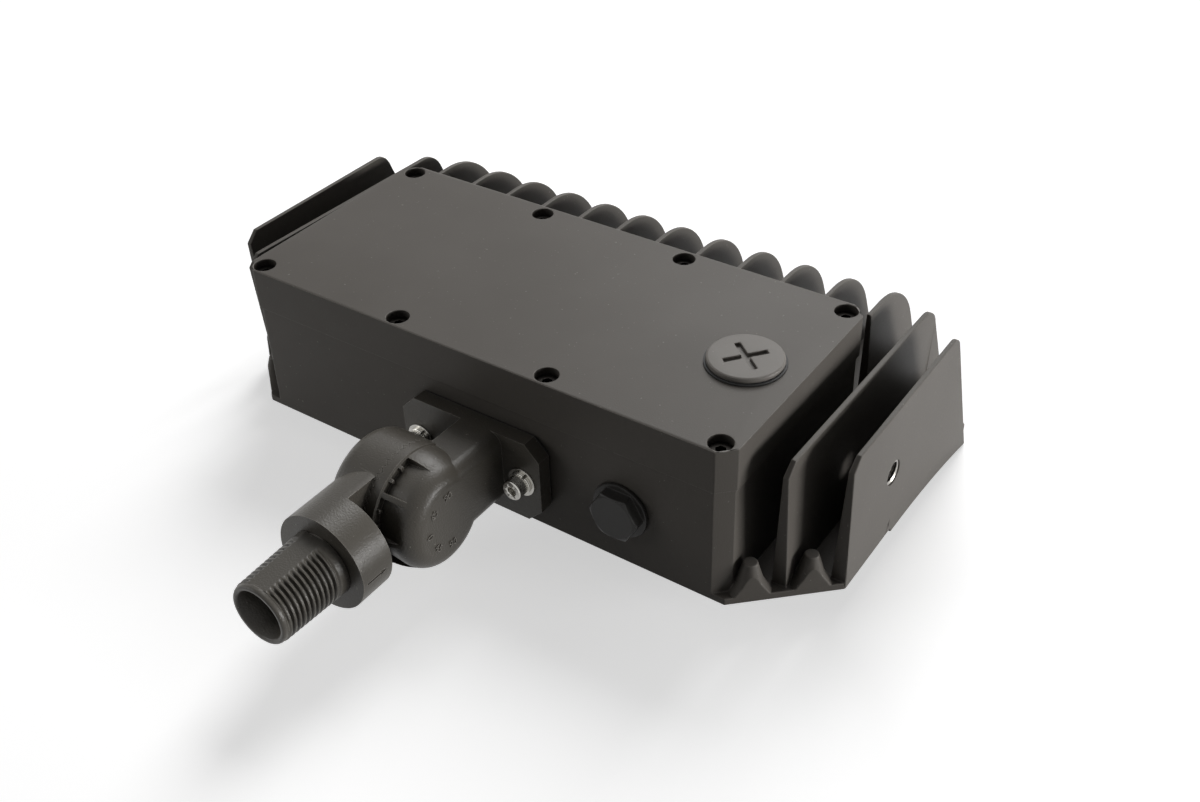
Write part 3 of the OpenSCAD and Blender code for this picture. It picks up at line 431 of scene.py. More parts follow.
# Yellow squares that mark the emitters
PHOSPHOR = Moulded("yellow_phosphor", Slot.PHOSPHOR, "d7b23a", "e8c95c", roughness=0.5)
# Clear forms that bend the view of the emitters
OPTIC = Clear("moulded_acrylic_optic", Slot.OPTIC, "f4f6f6", 1.49)
# A faint green tint over the window
GLASS = Clear("toughened_glass", Slot.GLASS, "eef4f1", 1.52)


# ---- Meshes


def link_piece(mesh: bpy.types.Mesh, name: str) -> bpy.types.Object:
    """Links a mesh into the scene as an object at the origin.

    Args:
        mesh: The mesh.
        name: Name for the object.

    Returns:
        The object.
    """
    piece = bpy.data.objects.new(name, mesh)
    bpy.context.scene.collection.objects.link(piece)
    return piece


def to_mesh(bm: bmesh.types.BMesh, name: str) -> bpy.types.Mesh:
    """Writes a bmesh to a new mesh and frees it.

    Args:
        bm: The bmesh; its faces are turned outwards.
        name: Name for the mesh.

    Returns:
        The mesh, shaded smooth.
    """
    bmesh.ops.recalc_face_normals(bm, faces=bm.faces)
    for face in bm.faces:
        face.smooth = True
    mesh = bpy.data.meshes.new(name)
    bm.to_mesh(mesh)
    bm.free()
    return mesh


def whole_faces(bm: bmesh.types.BMesh, flat_deg: float = 0.4) -> bmesh.types.BMesh:
    """Welds a bmesh, merges its flat faces and splits the wide ones into tidy triangles.

    Args:
        bm: The bmesh, changed in place.
        flat_deg: Faces that turn less than this are merged.

    Returns:
        The same bmesh.
    """
    bmesh.ops.remove_doubles(bm, verts=bm.verts, dist=WELD_MM * MM)
    bmesh.ops.dissolve_limit(bm, angle_limit=math.radians(flat_deg), verts=bm.verts,
                             edges=bm.edges)
    wide = [face for face in bm.faces if len(face.verts) > 4]
    bmesh.ops.triangulate(bm, faces=wide, ngon_method="BEAUTY")
    return bm


def cad_bmesh(node: str) -> bmesh.types.BMesh:
    """Copies a CAD node's mesh without its long thin faces.

    Args:
        node: The CAD node's name.

    Returns:
        The bmesh, in the frame's coordinates.
    """
    bm = bmesh.new()
    bm.from_mesh(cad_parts[node].data)
    return whole_faces(bm)


def evaluated_mesh(source: bpy.types.Object) -> bpy.types.Mesh:
    """Makes a new mesh of an object as its modifiers leave it.

    Args:
        source: The object, which stays as it is.

    Returns:
        The mesh.
    """
    bpy.context.view_layer.update()
    graph = bpy.context.evaluated_depsgraph_get()
    return bpy.data.meshes.new_from_object(source.evaluated_get(graph))


def bake(piece: bpy.types.Object) -> None:
    """Applies a piece's modifiers to its mesh.

    Args:
        piece: The piece, changed in place.
    """
    result = evaluated_mesh(piece)
    old = piece.data
    piece.modifiers.clear()
    piece.data = result
    bpy.data.meshes.remove(old)


def cut(piece: bpy.types.Object, cutter: bpy.types.Mesh, join: bool = False) -> None:
    """Cuts one mesh out of a piece, or joins it on, and applies the result.

    Args:
        piece: The piece, changed in place.
        cutter: A closed mesh in the frame's coordinates; it is used up.
        join: True to join the mesh to the piece.
    """
    tool = link_piece(cutter, "cutter")
    step = piece.modifiers.new("cut", "BOOLEAN")
    step.operation = "UNION" if join else "DIFFERENCE"
    step.solver = "EXACT"
    step.object = tool
    bake(piece)
    bpy.data.objects.remove(tool)
    bpy.data.meshes.remove(cutter)


def soften(piece: bpy.types.Object, width_mm: float, limit_deg: float = 32,
           segments: int = 2) -> None:
    """Rounds a piece's sharp edges in its mesh, inside the CAD model's box.

    Args:
        piece: The piece.
        width_mm: Width of the rounding.
        limit_deg: Edges sharper than this are rounded.
        segments: Steps across the rounding.
    """
    bevel = piece.modifiers.new("soft_edges", "BEVEL")
    bevel.width = width_mm * MM
    bevel.segments = segments
    bevel.limit_method = "ANGLE"
    bevel.angle_limit = math.radians(limit_deg)
    bevel.use_clamp_overlap = False
    bevel.loop_slide = False
    bake(piece)
    for vert in piece.data.vertices:
        vert.co = Vector(min(max(c, low), high)
                         for c, low, high in zip(vert.co, cad_box[0], cad_box[1]))


def shade(piece: bpy.types.Object, limit_deg: float = 32) -> None:
    """Shades a piece smooth up to an angle, its large flat faces flat.

    Args:
        piece: The piece.
        limit_deg: Edges sharper than this stay sharp.
    """
    mesh = piece.data
    if "custom_normal" in mesh.attributes:
        mesh.attributes.remove(mesh.attributes["custom_normal"])
    mesh.set_sharp_from_angle(angle=math.radians(limit_deg))
    flat = piece.modifiers.new("flat_shading", "WEIGHTED_NORMAL")
    flat.mode = "FACE_AREA_WITH_ANGLE"
    flat.keep_sharp = True


def turned(profile: Profile, sides: int, where: Matrix) -> bmesh.types.BMesh:
    """Turns a profile about Z and places it.

    Args:
        profile: Radius and height pairs; a radius may be a function of the angle, and a
            profile that starts and ends at radius zero is closed there.
        sides: Points round each ring.
        where: Places the form in the frame.

    Returns:
        The closed bmesh.
    """
    bm = bmesh.new()
    rings: list[list[bmesh.types.BMVert]] = []
    for radius, height in profile:
        if radius == 0:
            rings.append([bm.verts.new(where @ Vector((0, 0, height)))])
            continue
        ring = []
        for i in range(sides):
            angle = 2 * math.pi * i / sides
            r = radius(angle) if callable(radius) else radius
            point = Vector((r * math.cos(angle), r * math.sin(angle), height))
            ring.append(bm.verts.new(where @ point))
        rings.append(ring)
    pairs = list(zip(rings, rings[1:]))
    if len(rings[0]) > 1:
        pairs.append((rings[-1], rings[0]))
    for low, high in pairs:
        for i in range(sides):
            j = (i + 1) % sides
            corner = [low[i % len(low)], low[j % len(low)], high[j % len(high)],
                      high[i % len(high)]]
            bm.faces.new(list(dict.fromkeys(corner)))
    return bm


def toward(place: Place, axis: str) -> Matrix:
    """Makes the matrix that stands a form on a place and turns its Z along an axis.

    Args:
        place: Where the form's origin goes, in metres.
        axis: The axis that Z points along, such as "-Y".

    Returns:
        The matrix.
    """
    ways = {"+X": (1, 0, 0), "-X": (-1, 0, 0), "+Y": (0, 1, 0), "-Y": (0, -1, 0),
            "+Z": (0, 0, 1), "-Z": (0, 0, -1)}
    turn = Vector(ways[axis]).to_track_quat("Z", "Y").to_matrix().to_4x4()
    return Matrix.Translation(Vector(place)) @ turn


def hexagon(flats_mm: float) -> Callable[[float], float]:
    """Makes the function that gives a hexagon's radius at an angle.

    Args:
        flats_mm: Width across the flats.

    Returns:
        The function, from radians to metres.
    """
    def radius(angle: float) -> float:
        """Returns the radius at one angle."""
        turn = (angle + math.pi / 6) % (math.pi / 3) - math.pi / 6
        return flats_mm / 2 * MM / math.cos(turn)
    return radius


def merge(parts: Sequence[bmesh.types.BMesh], name: str) -> bpy.types.Mesh:
    """Puts several bmeshes into one mesh.

    Args:
        parts: The bmeshes; they are freed.
        name: Name for the mesh.

    Returns:
        The mesh.
    """
    whole = bmesh.new()
    for part in parts:
        bmesh.ops.recalc_face_normals(part, faces=part.faces)
        loose = bpy.data.meshes.new("loose")
        part.to_mesh(loose)
        part.free()
        whole.from_mesh(loose)
        bpy.data.meshes.remove(loose)
    for face in whole.faces:
        face.smooth = True
    mesh = bpy.data.meshes.new(name)
    whole.to_mesh(mesh)
    whole.free()
    return mesh


def finish_piece(piece: bpy.types.Object, body: Body, finish: Finish,
                 nodes: Sequence[str] = ()) -> bpy.types.Object:
    """Gives a piece its body, its material and the nodes that it stands for.

    Args:
        piece: The piece.
        body: The body that it rides on.
        finish: Its finish.
        nodes: CAD nodes that it replaces.

    Returns:
        The piece.
    """
    piece.data.materials.clear()
    piece.data.materials.append(finish.material())
    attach(piece, body.value)
    if nodes:
        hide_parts(*nodes)
    LOG.info("%s: %d faces, %s", piece.name, len(piece.data.polygons), finish.name)
    return piece


def dress(node: str, finish: Finish, body: Body, width_mm: float,
          limit_deg: float = 32) -> bpy.types.Object:
    """Makes a dressed copy of a CAD node.

    Args:
        node: The CAD node's name.
        finish: The copy's finish.
        body: The body that it rides on.
        width_mm: Width of the rounding on its sharp edges, or zero to leave them.
        limit_deg: Edges sharper than this are rounded.

    Returns:
        The new piece.
    """
    piece = link_piece(to_mesh(cad_bmesh(node), node), f"{node}_form")
    finish_piece(piece, body, finish, [node])
    if width_mm > 0:
        soften(piece, width_mm, limit_deg)
    shade(piece, limit_deg)
    return piece


def spun_rings(bm: bmesh.types.BMesh, radius: Callable[[float, float], float],
               heights: Sequence[float], sides: int, where: Matrix
               ) -> list[list[bmesh.types.BMVert]]:
    """Adds rings of points about Z whose radius follows the angle and the height.

    Args:
        bm: The bmesh that gets the points.
        radius: Radius in millimetres at an angle in radians and a height in millimetres.
        heights: Heights of the rings in millimetres.
        sides: Points round each ring.
        where: Places the rings in the frame.

    Returns:
        The rings, low to high.
    """
    rings = []
    for z in heights:
        ring = []
        for i in range(sides):
            angle = 2 * math.pi * i / sides
            r = radius(angle, z) * MM
            ring.append(bm.verts.new(where @ Vector((r * math.cos(angle), r * math.sin(angle),
                                                     z * MM))))
        rings.append(ring)
    return rings


def skin_rings(bm: bmesh.types.BMesh, rings: Sequence[Sequence[bmesh.types.BMVert]]) -> None:
    """Adds the faces between each ring of points and the next.

    Args:
        bm: The bmesh that holds the points.
        rings: The rings in order, each with as many points.
    """
    for one, two in zip(rings, rings[1:]):
        for i in range(len(one)):
            j = (i + 1) % len(one)
            bm.faces.new((one[i], one[j], two[j], two[i]))


def prism(outline: Sequence[tuple[float, float]], rise: float, where: Matrix
          ) -> bmesh.types.BMesh:
    """Raises an outline to a closed block.

    Args:
        outline: The corners in millimetres, anticlockwise.
        rise: The block's height along Z in millimetres.
        where: Places the block in the frame.

    Returns:
        The closed bmesh.
    """
    bm = bmesh.new()
    low, high = ([bm.verts.new(where @ Vector((x * MM, y * MM, z * MM))) for x, y in outline]
                 for z in (0, rise))
    bm.faces.new(list(reversed(low)))
    bm.faces.new(high)
    skin_rings(bm, [low, high])
    return bm


def numeral(text: str, size: float, rise: float, where: Matrix) -> bmesh.types.BMesh:
    """Makes a raised number.

    Args:
        text: The digits.
        size: Size of the letter body in millimetres.
        rise: How far the digits stand up, in millimetres.
        where: Places the number: X reads along it, Z points out of it.

    Returns:
        The bmesh.
    """
    curve = bpy.data.curves.new("numeral", "FONT")
    curve.body, curve.size, curve.extrude = text, size * MM, rise * MM
    curve.align_x, curve.align_y, curve.resolution_u = "CENTER", "CENTER", 4
    source = bpy.data.objects.new("numeral", curve)
    bpy.context.scene.collection.objects.link(source)
    mesh = evaluated_mesh(source)
    mesh.transform(where)
    bm = bmesh.new()
    bm.from_mesh(mesh)
    bpy.data.objects.remove(source)
    bpy.data.curves.remove(curve)
    bpy.data.meshes.remove(mesh)
    return bm


# ---- Screws and washers


@dataclass(frozen=True)
class SocketScrew:
    """Socket head screw; its seat is at zero and its head points along +Z. Millimetres."""

    shank_d: float
    length: float
    head_d: float
    head_h: float
    socket: float
    socket_depth: float
    chamfer: float = 0.35
    mouth: float = 0.15
    mouth_depth: float = 0.2
    knurls: int = 0
    knurl_depth: float = 0.14

    def build(self, where: Matrix) -> bmesh.types.BMesh:
        """Builds the screw as one turned form with a hexagon socket.

        Args:
            where: Places the screw, seat at zero, head along +Z.

        Returns:
            The closed bmesh.
        """
        sides = max(self.knurls * 4, 72)
        head_r, shank_r = self.head_d / 2 * MM, self.shank_d / 2 * MM
        rim = self.chamfer * MM
        top = self.head_h * MM

        def ridged(angle: float) -> float:
            """Returns the knurled radius of the head's side."""
            wave = 0.5 + 0.5 * math.cos(self.knurls * angle)
            return head_r - self.knurl_depth * MM * wave

        side = ridged if self.knurls else head_r
        low_side = head_r - self.knurl_depth * MM if self.knurls else head_r - rim / 2
        hexa = hexagon(self.socket)
        mouth = self.socket / 2 / math.cos(math.pi / 6) * MM + self.mouth * MM
        floor_z = top - self.socket_depth * MM
        profile: Profile = [
            (0, -self.length * MM), (shank_r - rim, -self.length * MM),
            (shank_r, -self.length * MM + rim), (shank_r, 0),
            (low_side, 0), (side, rim / 2), (side, top - 2.4 * rim),
            (head_r - rim * 0.25, top - 1.9 * rim), (head_r - rim * 0.25, top - rim),
            (head_r - rim * 0.6, top - rim * 0.35), (head_r - rim * 1.2, top),
            (mouth, top), (hexa, top - self.mouth_depth * MM), (hexa, floor_z),
            (0, floor_z - self.socket * 0.2 * MM),
        ]
        return turned(profile, sides, where)


@dataclass(frozen=True)
class SplitWasher:
    """Spring lock washer: a square-section ring, slit and slightly sprung. Millimetres."""

    outer_d: float
    inner_d: float
    thickness: float
    slit_deg: float = 7
    edge: float = 0.12
    steps: int = 60

    def build(self, where: Matrix, start_deg: float) -> bmesh.types.BMesh:
        """Builds the washer with its slit at an angle.

        Args:
            where: Places the washer, lower face at zero, axis along +Z.
            start_deg: Angle of the slit.

        Returns:
            The closed bmesh.
        """
        bm = bmesh.new()
        sections = []
        edge = self.edge * MM
        low, high = edge, self.thickness * MM
        inner, outer = self.inner_d / 2 * MM, self.outer_d / 2 * MM
        outline = [(inner, low), (inner + edge, 0), (outer - edge, 0), (outer, low),
                   (outer, high - edge), (outer - edge, high), (inner + edge, high),
                   (inner, high - edge)]
        for i in range(self.steps + 1):
            turn = math.radians(start_deg + self.slit_deg
                                + (360 - 2 * self.slit_deg) * i / self.steps)
            sections.append([bm.verts.new(where @ Vector(
                (r * math.cos(turn), r * math.sin(turn), z))) for r, z in outline])
        skin_rings(bm, sections)
        bm.faces.new(sections[0])
        bm.faces.new(list(reversed(sections[-1])))
        return bm


# ---- Sub-assemblies


@dataclass
class Knuckle:
    """The two toothed halves, the threaded stem and the flange screws. Millimetres."""

    stem_end_y: float = -12.8
    collar_y: float = 12.8
    bore_r: float = 8.3
    thread_pitch: float = 1.814
    thread_depth: float = 1.05
    crest_r: float = 10.42
    taper: float = 1 / 32
    root_share: float = 0.12
    flank_share: float = 0.62
    rim_len: float = 1.7
    rim_drop: float = 0.25
    rim_round: float = 0.9
    rim_curve: float = 0.55
    run_in: float = 0.8
    neck_len: float = 3.2
    run_out: float = 1.6
    band_half_deg: float = 19.5
    band_fade_deg: float = 9
    bore_chamfer: float = 0.5
    stem_short: float = 0.25
    shell_short: float = 0.3
    axis_y: float = 47.7
    tooth_x: float = 2.5
    flange_x: float = 7
    flange_face_y: float = 74.1
    screw_pitch: float = 41.2
    washer_t: float = 0.8
    washer_edge: float = 0.12
    gasket_edge: float = 0.1
    bolt_edge: float = 0.3
    lock_t: float = 1.1
    slit_at_deg: float = 60
    cut_weld: float = 0.0001
    cast_edge: float = 0.12
    cast_limit: float = 50
    arrow_floor_x: float = 16.05
    arrow_z: float = -1.6
    arrow_tail_y: float = 14.6
    arrow_neck_y: float = 20.4
    arrow_tip_y: float = 22.8
    arrow_line: float = 0.6
    arrow_head: float = 2.2
    arrow_cut: float = 2
    face_out: float = 17.5
    number_r: float = 9.2
    number_size: float = 3.5
    number_rise: float = 0.25
    numbers: tuple[tuple[float, str, bool], ...] = (
        (90, "90", False), (45, "45", False), (0, "0", False), (-45, "45", True),
        (-90, "90", True))
    tick_r: float = 19.0
    tick_low: float = 3.2
    tick_out: float = 2.0
    tick_w: float = 1.2
    tick_h: float = 1.6
    tick_edge: float = 0.22
    tick_angles: tuple[float, ...] = (-75, -60, -30, -15, 15, 30, 60, 75, 105, 120)

    def thread_radius(self, angle: float, y: float) -> float:
        """Returns the stem's outer radius.

        Args:
            angle: Angle round the stem from +X towards +Z, in radians.
            y: Place along the stem.

        Returns:
            The radius in millimetres.
        """
        along = y - self.stem_end_y
        crest = self.crest_r + along * self.taper
        neck = self.collar_y - self.neck_len - y
        if along < self.rim_len:
            edge = max(0.0, self.rim_round - along)
            return self.crest_r - self.rim_drop - self.rim_curve * edge * edge
        phase = (along / self.thread_pitch - angle / (2 * math.pi)) % 1
        rise = 1 - abs(2 * phase - 1)
        ridge = min(max((rise - self.root_share) / self.flank_share, 0.0), 1.0)
        ridge = ridge * ridge * (3 - 2 * ridge)
        band = min(abs((math.degrees(angle) - a + 180) % 360 - 180) for a in (90, 270))
        grow = (band - self.band_half_deg) / self.band_fade_deg
        grow = min(max(grow, 0.0), 1.0)
        begin = min(max((along - self.rim_len) / self.run_in, 0.0), 1.0)
        end = min(max(neck / self.run_out, 0.0), 1.0)
        depth = self.thread_depth * grow * min(begin, end)
        flat = crest
        if band < self.band_half_deg:
            chord = crest * math.cos(math.radians(self.band_half_deg))
            flat = chord / math.cos(math.radians(band))
        return flat - depth * (1 - ridge)

    def stem_mesh(self) -> bpy.types.Mesh:
        """Builds the threaded, hollow stem as one closed form.

        Returns:
            The mesh.
        """
        bm = bmesh.new()
        sides, per_turn = 180, 10
        length = self.collar_y - self.stem_end_y - self.stem_short
        rows = round(length / self.thread_pitch * per_turn)
        where = Matrix(((1, 0, 0, 0), (0, 0, 1, 0), (0, 1, 0, 0), (0, 0, 0, 1)))
        mouth = self.stem_end_y + self.bore_chamfer
        outer = spun_rings(bm, self.thread_radius,
                           [self.stem_end_y + length * k / rows for k in range(rows + 1)],
                           sides, where)
        inner = spun_rings(
            bm, lambda _, y: self.bore_r + max(0.0, mouth - y),
            [self.stem_end_y, mouth, self.stem_end_y + length], sides, where)
        chain = list(reversed(outer)) + inner
        skin_rings(bm, chain + chain[:1])
        return to_mesh(bm, "threaded_stem")

    def arrow_mesh(self) -> bpy.types.Mesh:
        """Builds the arrow that is cut into the collar and points at the degree numbers.

        Returns:
            The closed mesh that cuts it.
        """
        tail, neck, tip = self.arrow_tail_y, self.arrow_neck_y, self.arrow_tip_y
        w, h = self.arrow_line / 2, self.arrow_head / 2
        where = Matrix.Translation((self.arrow_floor_x * MM, 0, self.arrow_z * MM)) @ Matrix(
            ((0, 0, 1, 0), (1, 0, 0, 0), (0, 1, 0, 0), (0, 0, 0, 1)))
        barb = neck - h / 2
        outline = [(tail, -w), (neck, -w), (barb, -h), (tip, 0), (barb, h), (neck, w),
                   (tail, w)]
        return to_mesh(prism(outline, self.arrow_cut, where), "arrow")

    def lower_half(self) -> None:
        """Dresses the lower half and gives it the threaded stem."""
        bm = cad_bmesh("knuckle_lower")
        # The plain CAD stem comes off just below the collar, and its open ends are bridged
        height = (self.collar_y - self.shell_short) * MM
        bmesh.ops.bisect_plane(bm, geom=bm.verts[:] + bm.edges[:] + bm.faces[:],
                               dist=self.cut_weld * MM, plane_co=(0, height, 0),
                               plane_no=(0, 1, 0), clear_inner=True)
        open_edges = [e for e in bm.edges if e.is_boundary]
        bmesh.ops.bridge_loops(bm, edges=open_edges)
        piece = link_piece(to_mesh(bm, "knuckle_lower"), "knuckle_lower_form")
        finish_piece(piece, Body.MOUNT, CAST_BRONZE, ["knuckle_lower"])
        soften(piece, self.cast_edge, self.cast_limit)
        cut(piece, self.arrow_mesh())
        shade(piece)
        stem = link_piece(self.stem_mesh(), "threaded_stem")
        finish_piece(stem, Body.MOUNT, CAST_BRONZE)
        stem.data.set_sharp_from_angle(angle=math.radians(THREAD_SHARP_DEG))

    def face_place(self, angle_deg: float, r: float, out: float, inward: bool) -> Matrix:
        """Returns a place on the barrel's end face.

        Args:
            angle_deg: Angle about the tilt axis from the stem's side upwards.
            r: Distance from the tilt axis.
            out: Distance from the teeth's plane along +X.
            inward: True to point the place's Y at the axis, False to point it away.

        Returns:
            The matrix: X along the rim, Z out of the face.
        """
        a = math.radians(angle_deg)
        radial = Vector((0, -math.cos(a), math.sin(a)))
        up = -radial if inward else radial
        out_of = Vector((1, 0, 0))
        along = up.cross(out_of)
        turn = Matrix((along, up, out_of)).transposed().to_4x4()
        centre = Vector((self.tooth_x + out, self.axis_y, 0)) + radial * r
        return Matrix.Translation(centre * MM) @ turn

    def degree_scale(self) -> None:
        """Puts the raised degree numbers and the rim's small tick lugs on the upper half."""
        numbers = [numeral(text, self.number_size, self.number_rise,
                           self.face_place(angle, self.number_r, self.face_out, inward))
                   for angle, text, inward in self.numbers]
        piece = link_piece(merge(numbers, "degree_numbers"), "degree_numbers")
        finish_piece(piece, Body.HEAD, CAST_BRONZE)
        w, h = self.tick_w / 2, self.tick_h
        ticks = [prism([(-w, -h), (w, -h), (w, 0), (-w, 0)], self.tick_out,
                       self.face_place(angle, self.tick_r, self.tick_low, False))
                 for angle in self.tick_angles]
        piece = link_piece(merge(ticks, "rim_ticks"), "rim_ticks")
        finish_piece(piece, Body.HEAD, CAST_BRONZE)
        soften(piece, self.tick_edge)
        shade(piece)

    def upper_half(self) -> None:
        """Dresses the upper half."""
        piece = link_piece(to_mesh(cad_bmesh("knuckle_upper"), "knuckle_upper"),
                           "knuckle_upper_form")
        finish_piece(piece, Body.HEAD, CAST_BRONZE, ["knuckle_upper"])
        soften(piece, self.cast_edge, self.cast_limit)
        shade(piece)
        self.degree_scale()

    def fasteners(self) -> None:
        """Builds the flange screws with their washers, and the pivot bolt."""
        seat = self.flange_face_y - self.washer_t - self.lock_t
        screw = SocketScrew(shank_d=4, length=15, head_d=7, head_h=4, socket=3,
                            socket_depth=2.2, knurls=30)
        lock = SplitWasher(outer_d=8, inner_d=4.3, thickness=self.lock_t)
        places = [self.flange_x + s * self.screw_pitch / 2 for s in (-1, 1)]
        heads = [screw.build(toward((x * MM, seat * MM, 0), "-Y")) for x in places]
        piece = link_piece(merge(heads, "flange_screws"), "flange_screws")
        finish_piece(piece, Body.HEAD, STAINLESS, ["knuckle_screws"])
        shade(piece, SCREW_SHARP_DEG)
        locks = [lock.build(toward((x * MM, (seat + self.lock_t) * MM, 0), "-Y"),
                            self.slit_at_deg) for x in places]
        piece = link_piece(merge(locks, "flange_lock_washers"), "flange_lock_washers")
        finish_piece(piece, Body.HEAD, STAINLESS, ["knuckle_lock_washers"])
        shade(piece, SCREW_SHARP_DEG)
        dress("knuckle_flat_washers", STAINLESS, Body.HEAD, self.washer_edge)
        dress("knuckle_gasket", SILICONE, Body.HEAD, self.gasket_edge)
        dress("pivot_bolt", STAINLESS, Body.MOUNT, self.bolt_edge)
        dress("pivot_washer", STAINLESS, Body.MOUNT, self.washer_edge)
        dress("pivot_lock_washer", STAINLESS, Body.MOUNT, self.washer_edge)

    def build(self) -> None:
        """Builds the whole knuckle."""
        self.lower_half()
        self.upper_half()
        self.fasteners()


@dataclass
class Housing:
    """Finned housing, cover, gaskets, plugs and the screws of the driver box. Millimetres."""

    edge: float = 0.35
    screw_edge: float = 0.15
    plug_edge: float = 0.4
    gasket_edge: float = 0.12
    fold_deg: float = 14
    hole_y: float = 135.0
    hole_z: float = 4.1
    hole_x: tuple[float, float] = (124.4, -120.4)
    hole_r: float = 4.25
    hole_depth: float = 5.2
    thread_pitch: float = 1.4
    thread_depth: float = 0.8
    flank_slope: float = 1.6
    root_over: float = 0.02
    mouth: float = 0.45
    bite: float = 0.12

    def thread_radius(self, angle: float, depth: float) -> float:
        """Gives the tapped hole's radius.

        Args:
            angle: Angle round the hole, in radians.
            depth: Depth below the plate's face, in millimetres.

        Returns:
            The radius in millimetres.
        """
        phase = (depth / self.thread_pitch - angle / (2 * math.pi)) % 1
        groove = min(self.flank_slope * (1 - abs(2 * phase - 1)), 1.0)
        return self.hole_r + self.root_over - self.thread_depth * (1 - groove)

    def hole_thread(self, x: float) -> bmesh.types.BMesh:
        """Builds the thread in one tapped hole as a closed sleeve.

        Args:
            x: Place of the plate's outer face; the hole runs towards the middle.

        Returns:
            The closed bmesh.
        """
        bm = bmesh.new()
        where = toward((x * MM, self.hole_y * MM, self.hole_z * MM), "-X" if x > 0 else "+X")
        sides, per_turn = 96, 12
        rows = round(self.hole_depth / self.thread_pitch * per_turn)
        depths = [self.mouth + (self.hole_depth - self.mouth) * k / rows
                  for k in range(rows + 1)]
        inner = spun_rings(bm, self.thread_radius, depths, sides, where)
        outer = spun_rings(bm, lambda *_: self.hole_r + self.bite, [depths[-1], depths[0]],
                           sides, where)
        chain = inner + outer
        skin_rings(bm, chain + chain[:1])
        return bm

    def casting(self) -> None:
        """Joins the housing's CAD nodes to the one casting they are; threads its end holes."""
        nodes = ["housing", "housing_fins", "housing_end_plates"]
        piece = link_piece(to_mesh(cad_bmesh(nodes[0]), nodes[0]), "housing_form")
        for node in nodes[1:]:
            cut(piece, to_mesh(cad_bmesh(node), node), join=True)
        bm = bmesh.new()
        bm.from_mesh(piece.data)
        piece.data = to_mesh(whole_faces(bm), "housing")
        finish_piece(piece, Body.HEAD, BRONZE, nodes)
        soften(piece, self.edge)
        shade(piece, self.fold_deg)
        threads = link_piece(merge([self.hole_thread(x) for x in self.hole_x],
                                   "end_hole_threads"), "end_hole_threads")
        finish_piece(threads, Body.HEAD, TAPPED)
        threads.data.set_sharp_from_angle(angle=math.radians(THREAD_SHARP_DEG))

    def build(self) -> None:
        """Builds the housing and what closes it."""
        self.casting()
        dress("cover", BRONZE, Body.HEAD, self.edge)
        dress("cover_gasket", SILICONE, Body.HEAD, 0)
        dress("cover_screws", DARK_SCREW, Body.HEAD, self.screw_edge)
        dress("closure_plug", PLUG_COAT, Body.HEAD, self.plug_edge)
        dress("closure_gasket", SILICONE, Body.HEAD, self.gasket_edge)
        dress("hex_plug", NYLON, Body.HEAD, self.edge)
        dress("hex_plug_seal", SILICONE, Body.HEAD, 0)


@dataclass
class Driver:
    """Power supply in its can, its two screws and the earth screw. Millimetres."""

    can_edge: float = 0.3
    screw_edge: float = 0.15

    def build(self) -> None:
        """Dresses what lies in the driver box."""
        dress("driver", DRIVER_CAN, Body.HEAD, self.can_edge)
        dress("driver_screws", STAINLESS, Body.HEAD, self.screw_edge)
        dress("ground_screw", GREEN_SCREW, Body.HEAD, self.screw_edge)


@dataclass
class Lamp:
    """Emitter board, optics, glass and lens frame on the underside. Millimetres."""

    board_edge: float = 0.1
    screw_edge: float = 0.12
    gasket_edge: float = 0.15
    glass_edge: float = 0.25
    frame_edge: float = 0.3

    def build(self) -> None:
        """Dresses the lamp's parts."""
        dress("led_board", BOARD, Body.HEAD, self.board_edge)
        dress("led_emitters", PHOSPHOR, Body.HEAD, self.board_edge)
        dress("board_screws", STAINLESS, Body.HEAD, self.screw_edge)
        dress("optic_array", OPTIC, Body.HEAD, 0)
        dress("lens_gasket", SILICONE, Body.HEAD, self.gasket_edge)
        dress("lens_glass", GLASS, Body.HEAD, self.glass_edge)
        dress("lens_frame", BRONZE, Body.HEAD, self.frame_edge)
        dress("lens_frame_screws", STAINLESS, Body.HEAD, self.screw_edge)


# ---- Studio


@dataclass(frozen=True)
class SoftBox:
    """A soft rectangular studio lamp. Metres and watts."""

    name: str
    place: Place
    aim: Place
    width: float
    height: float
    power: float

    def build(self) -> None:
        """Hangs the lamp and turns it to its aim."""
        data = bpy.data.lights.new(self.name, "AREA")
        data.shape = "RECTANGLE"
        data.size, data.size_y, data.energy = self.width, self.height, self.power
        lamp = bpy.data.objects.new(self.name, data)
        bpy.context.scene.collection.objects.link(lamp)
        lamp.location = self.place
        way = Vector(self.aim) - Vector(self.place)
        lamp.rotation_euler = way.to_track_quat("-Z", "Y").to_euler()


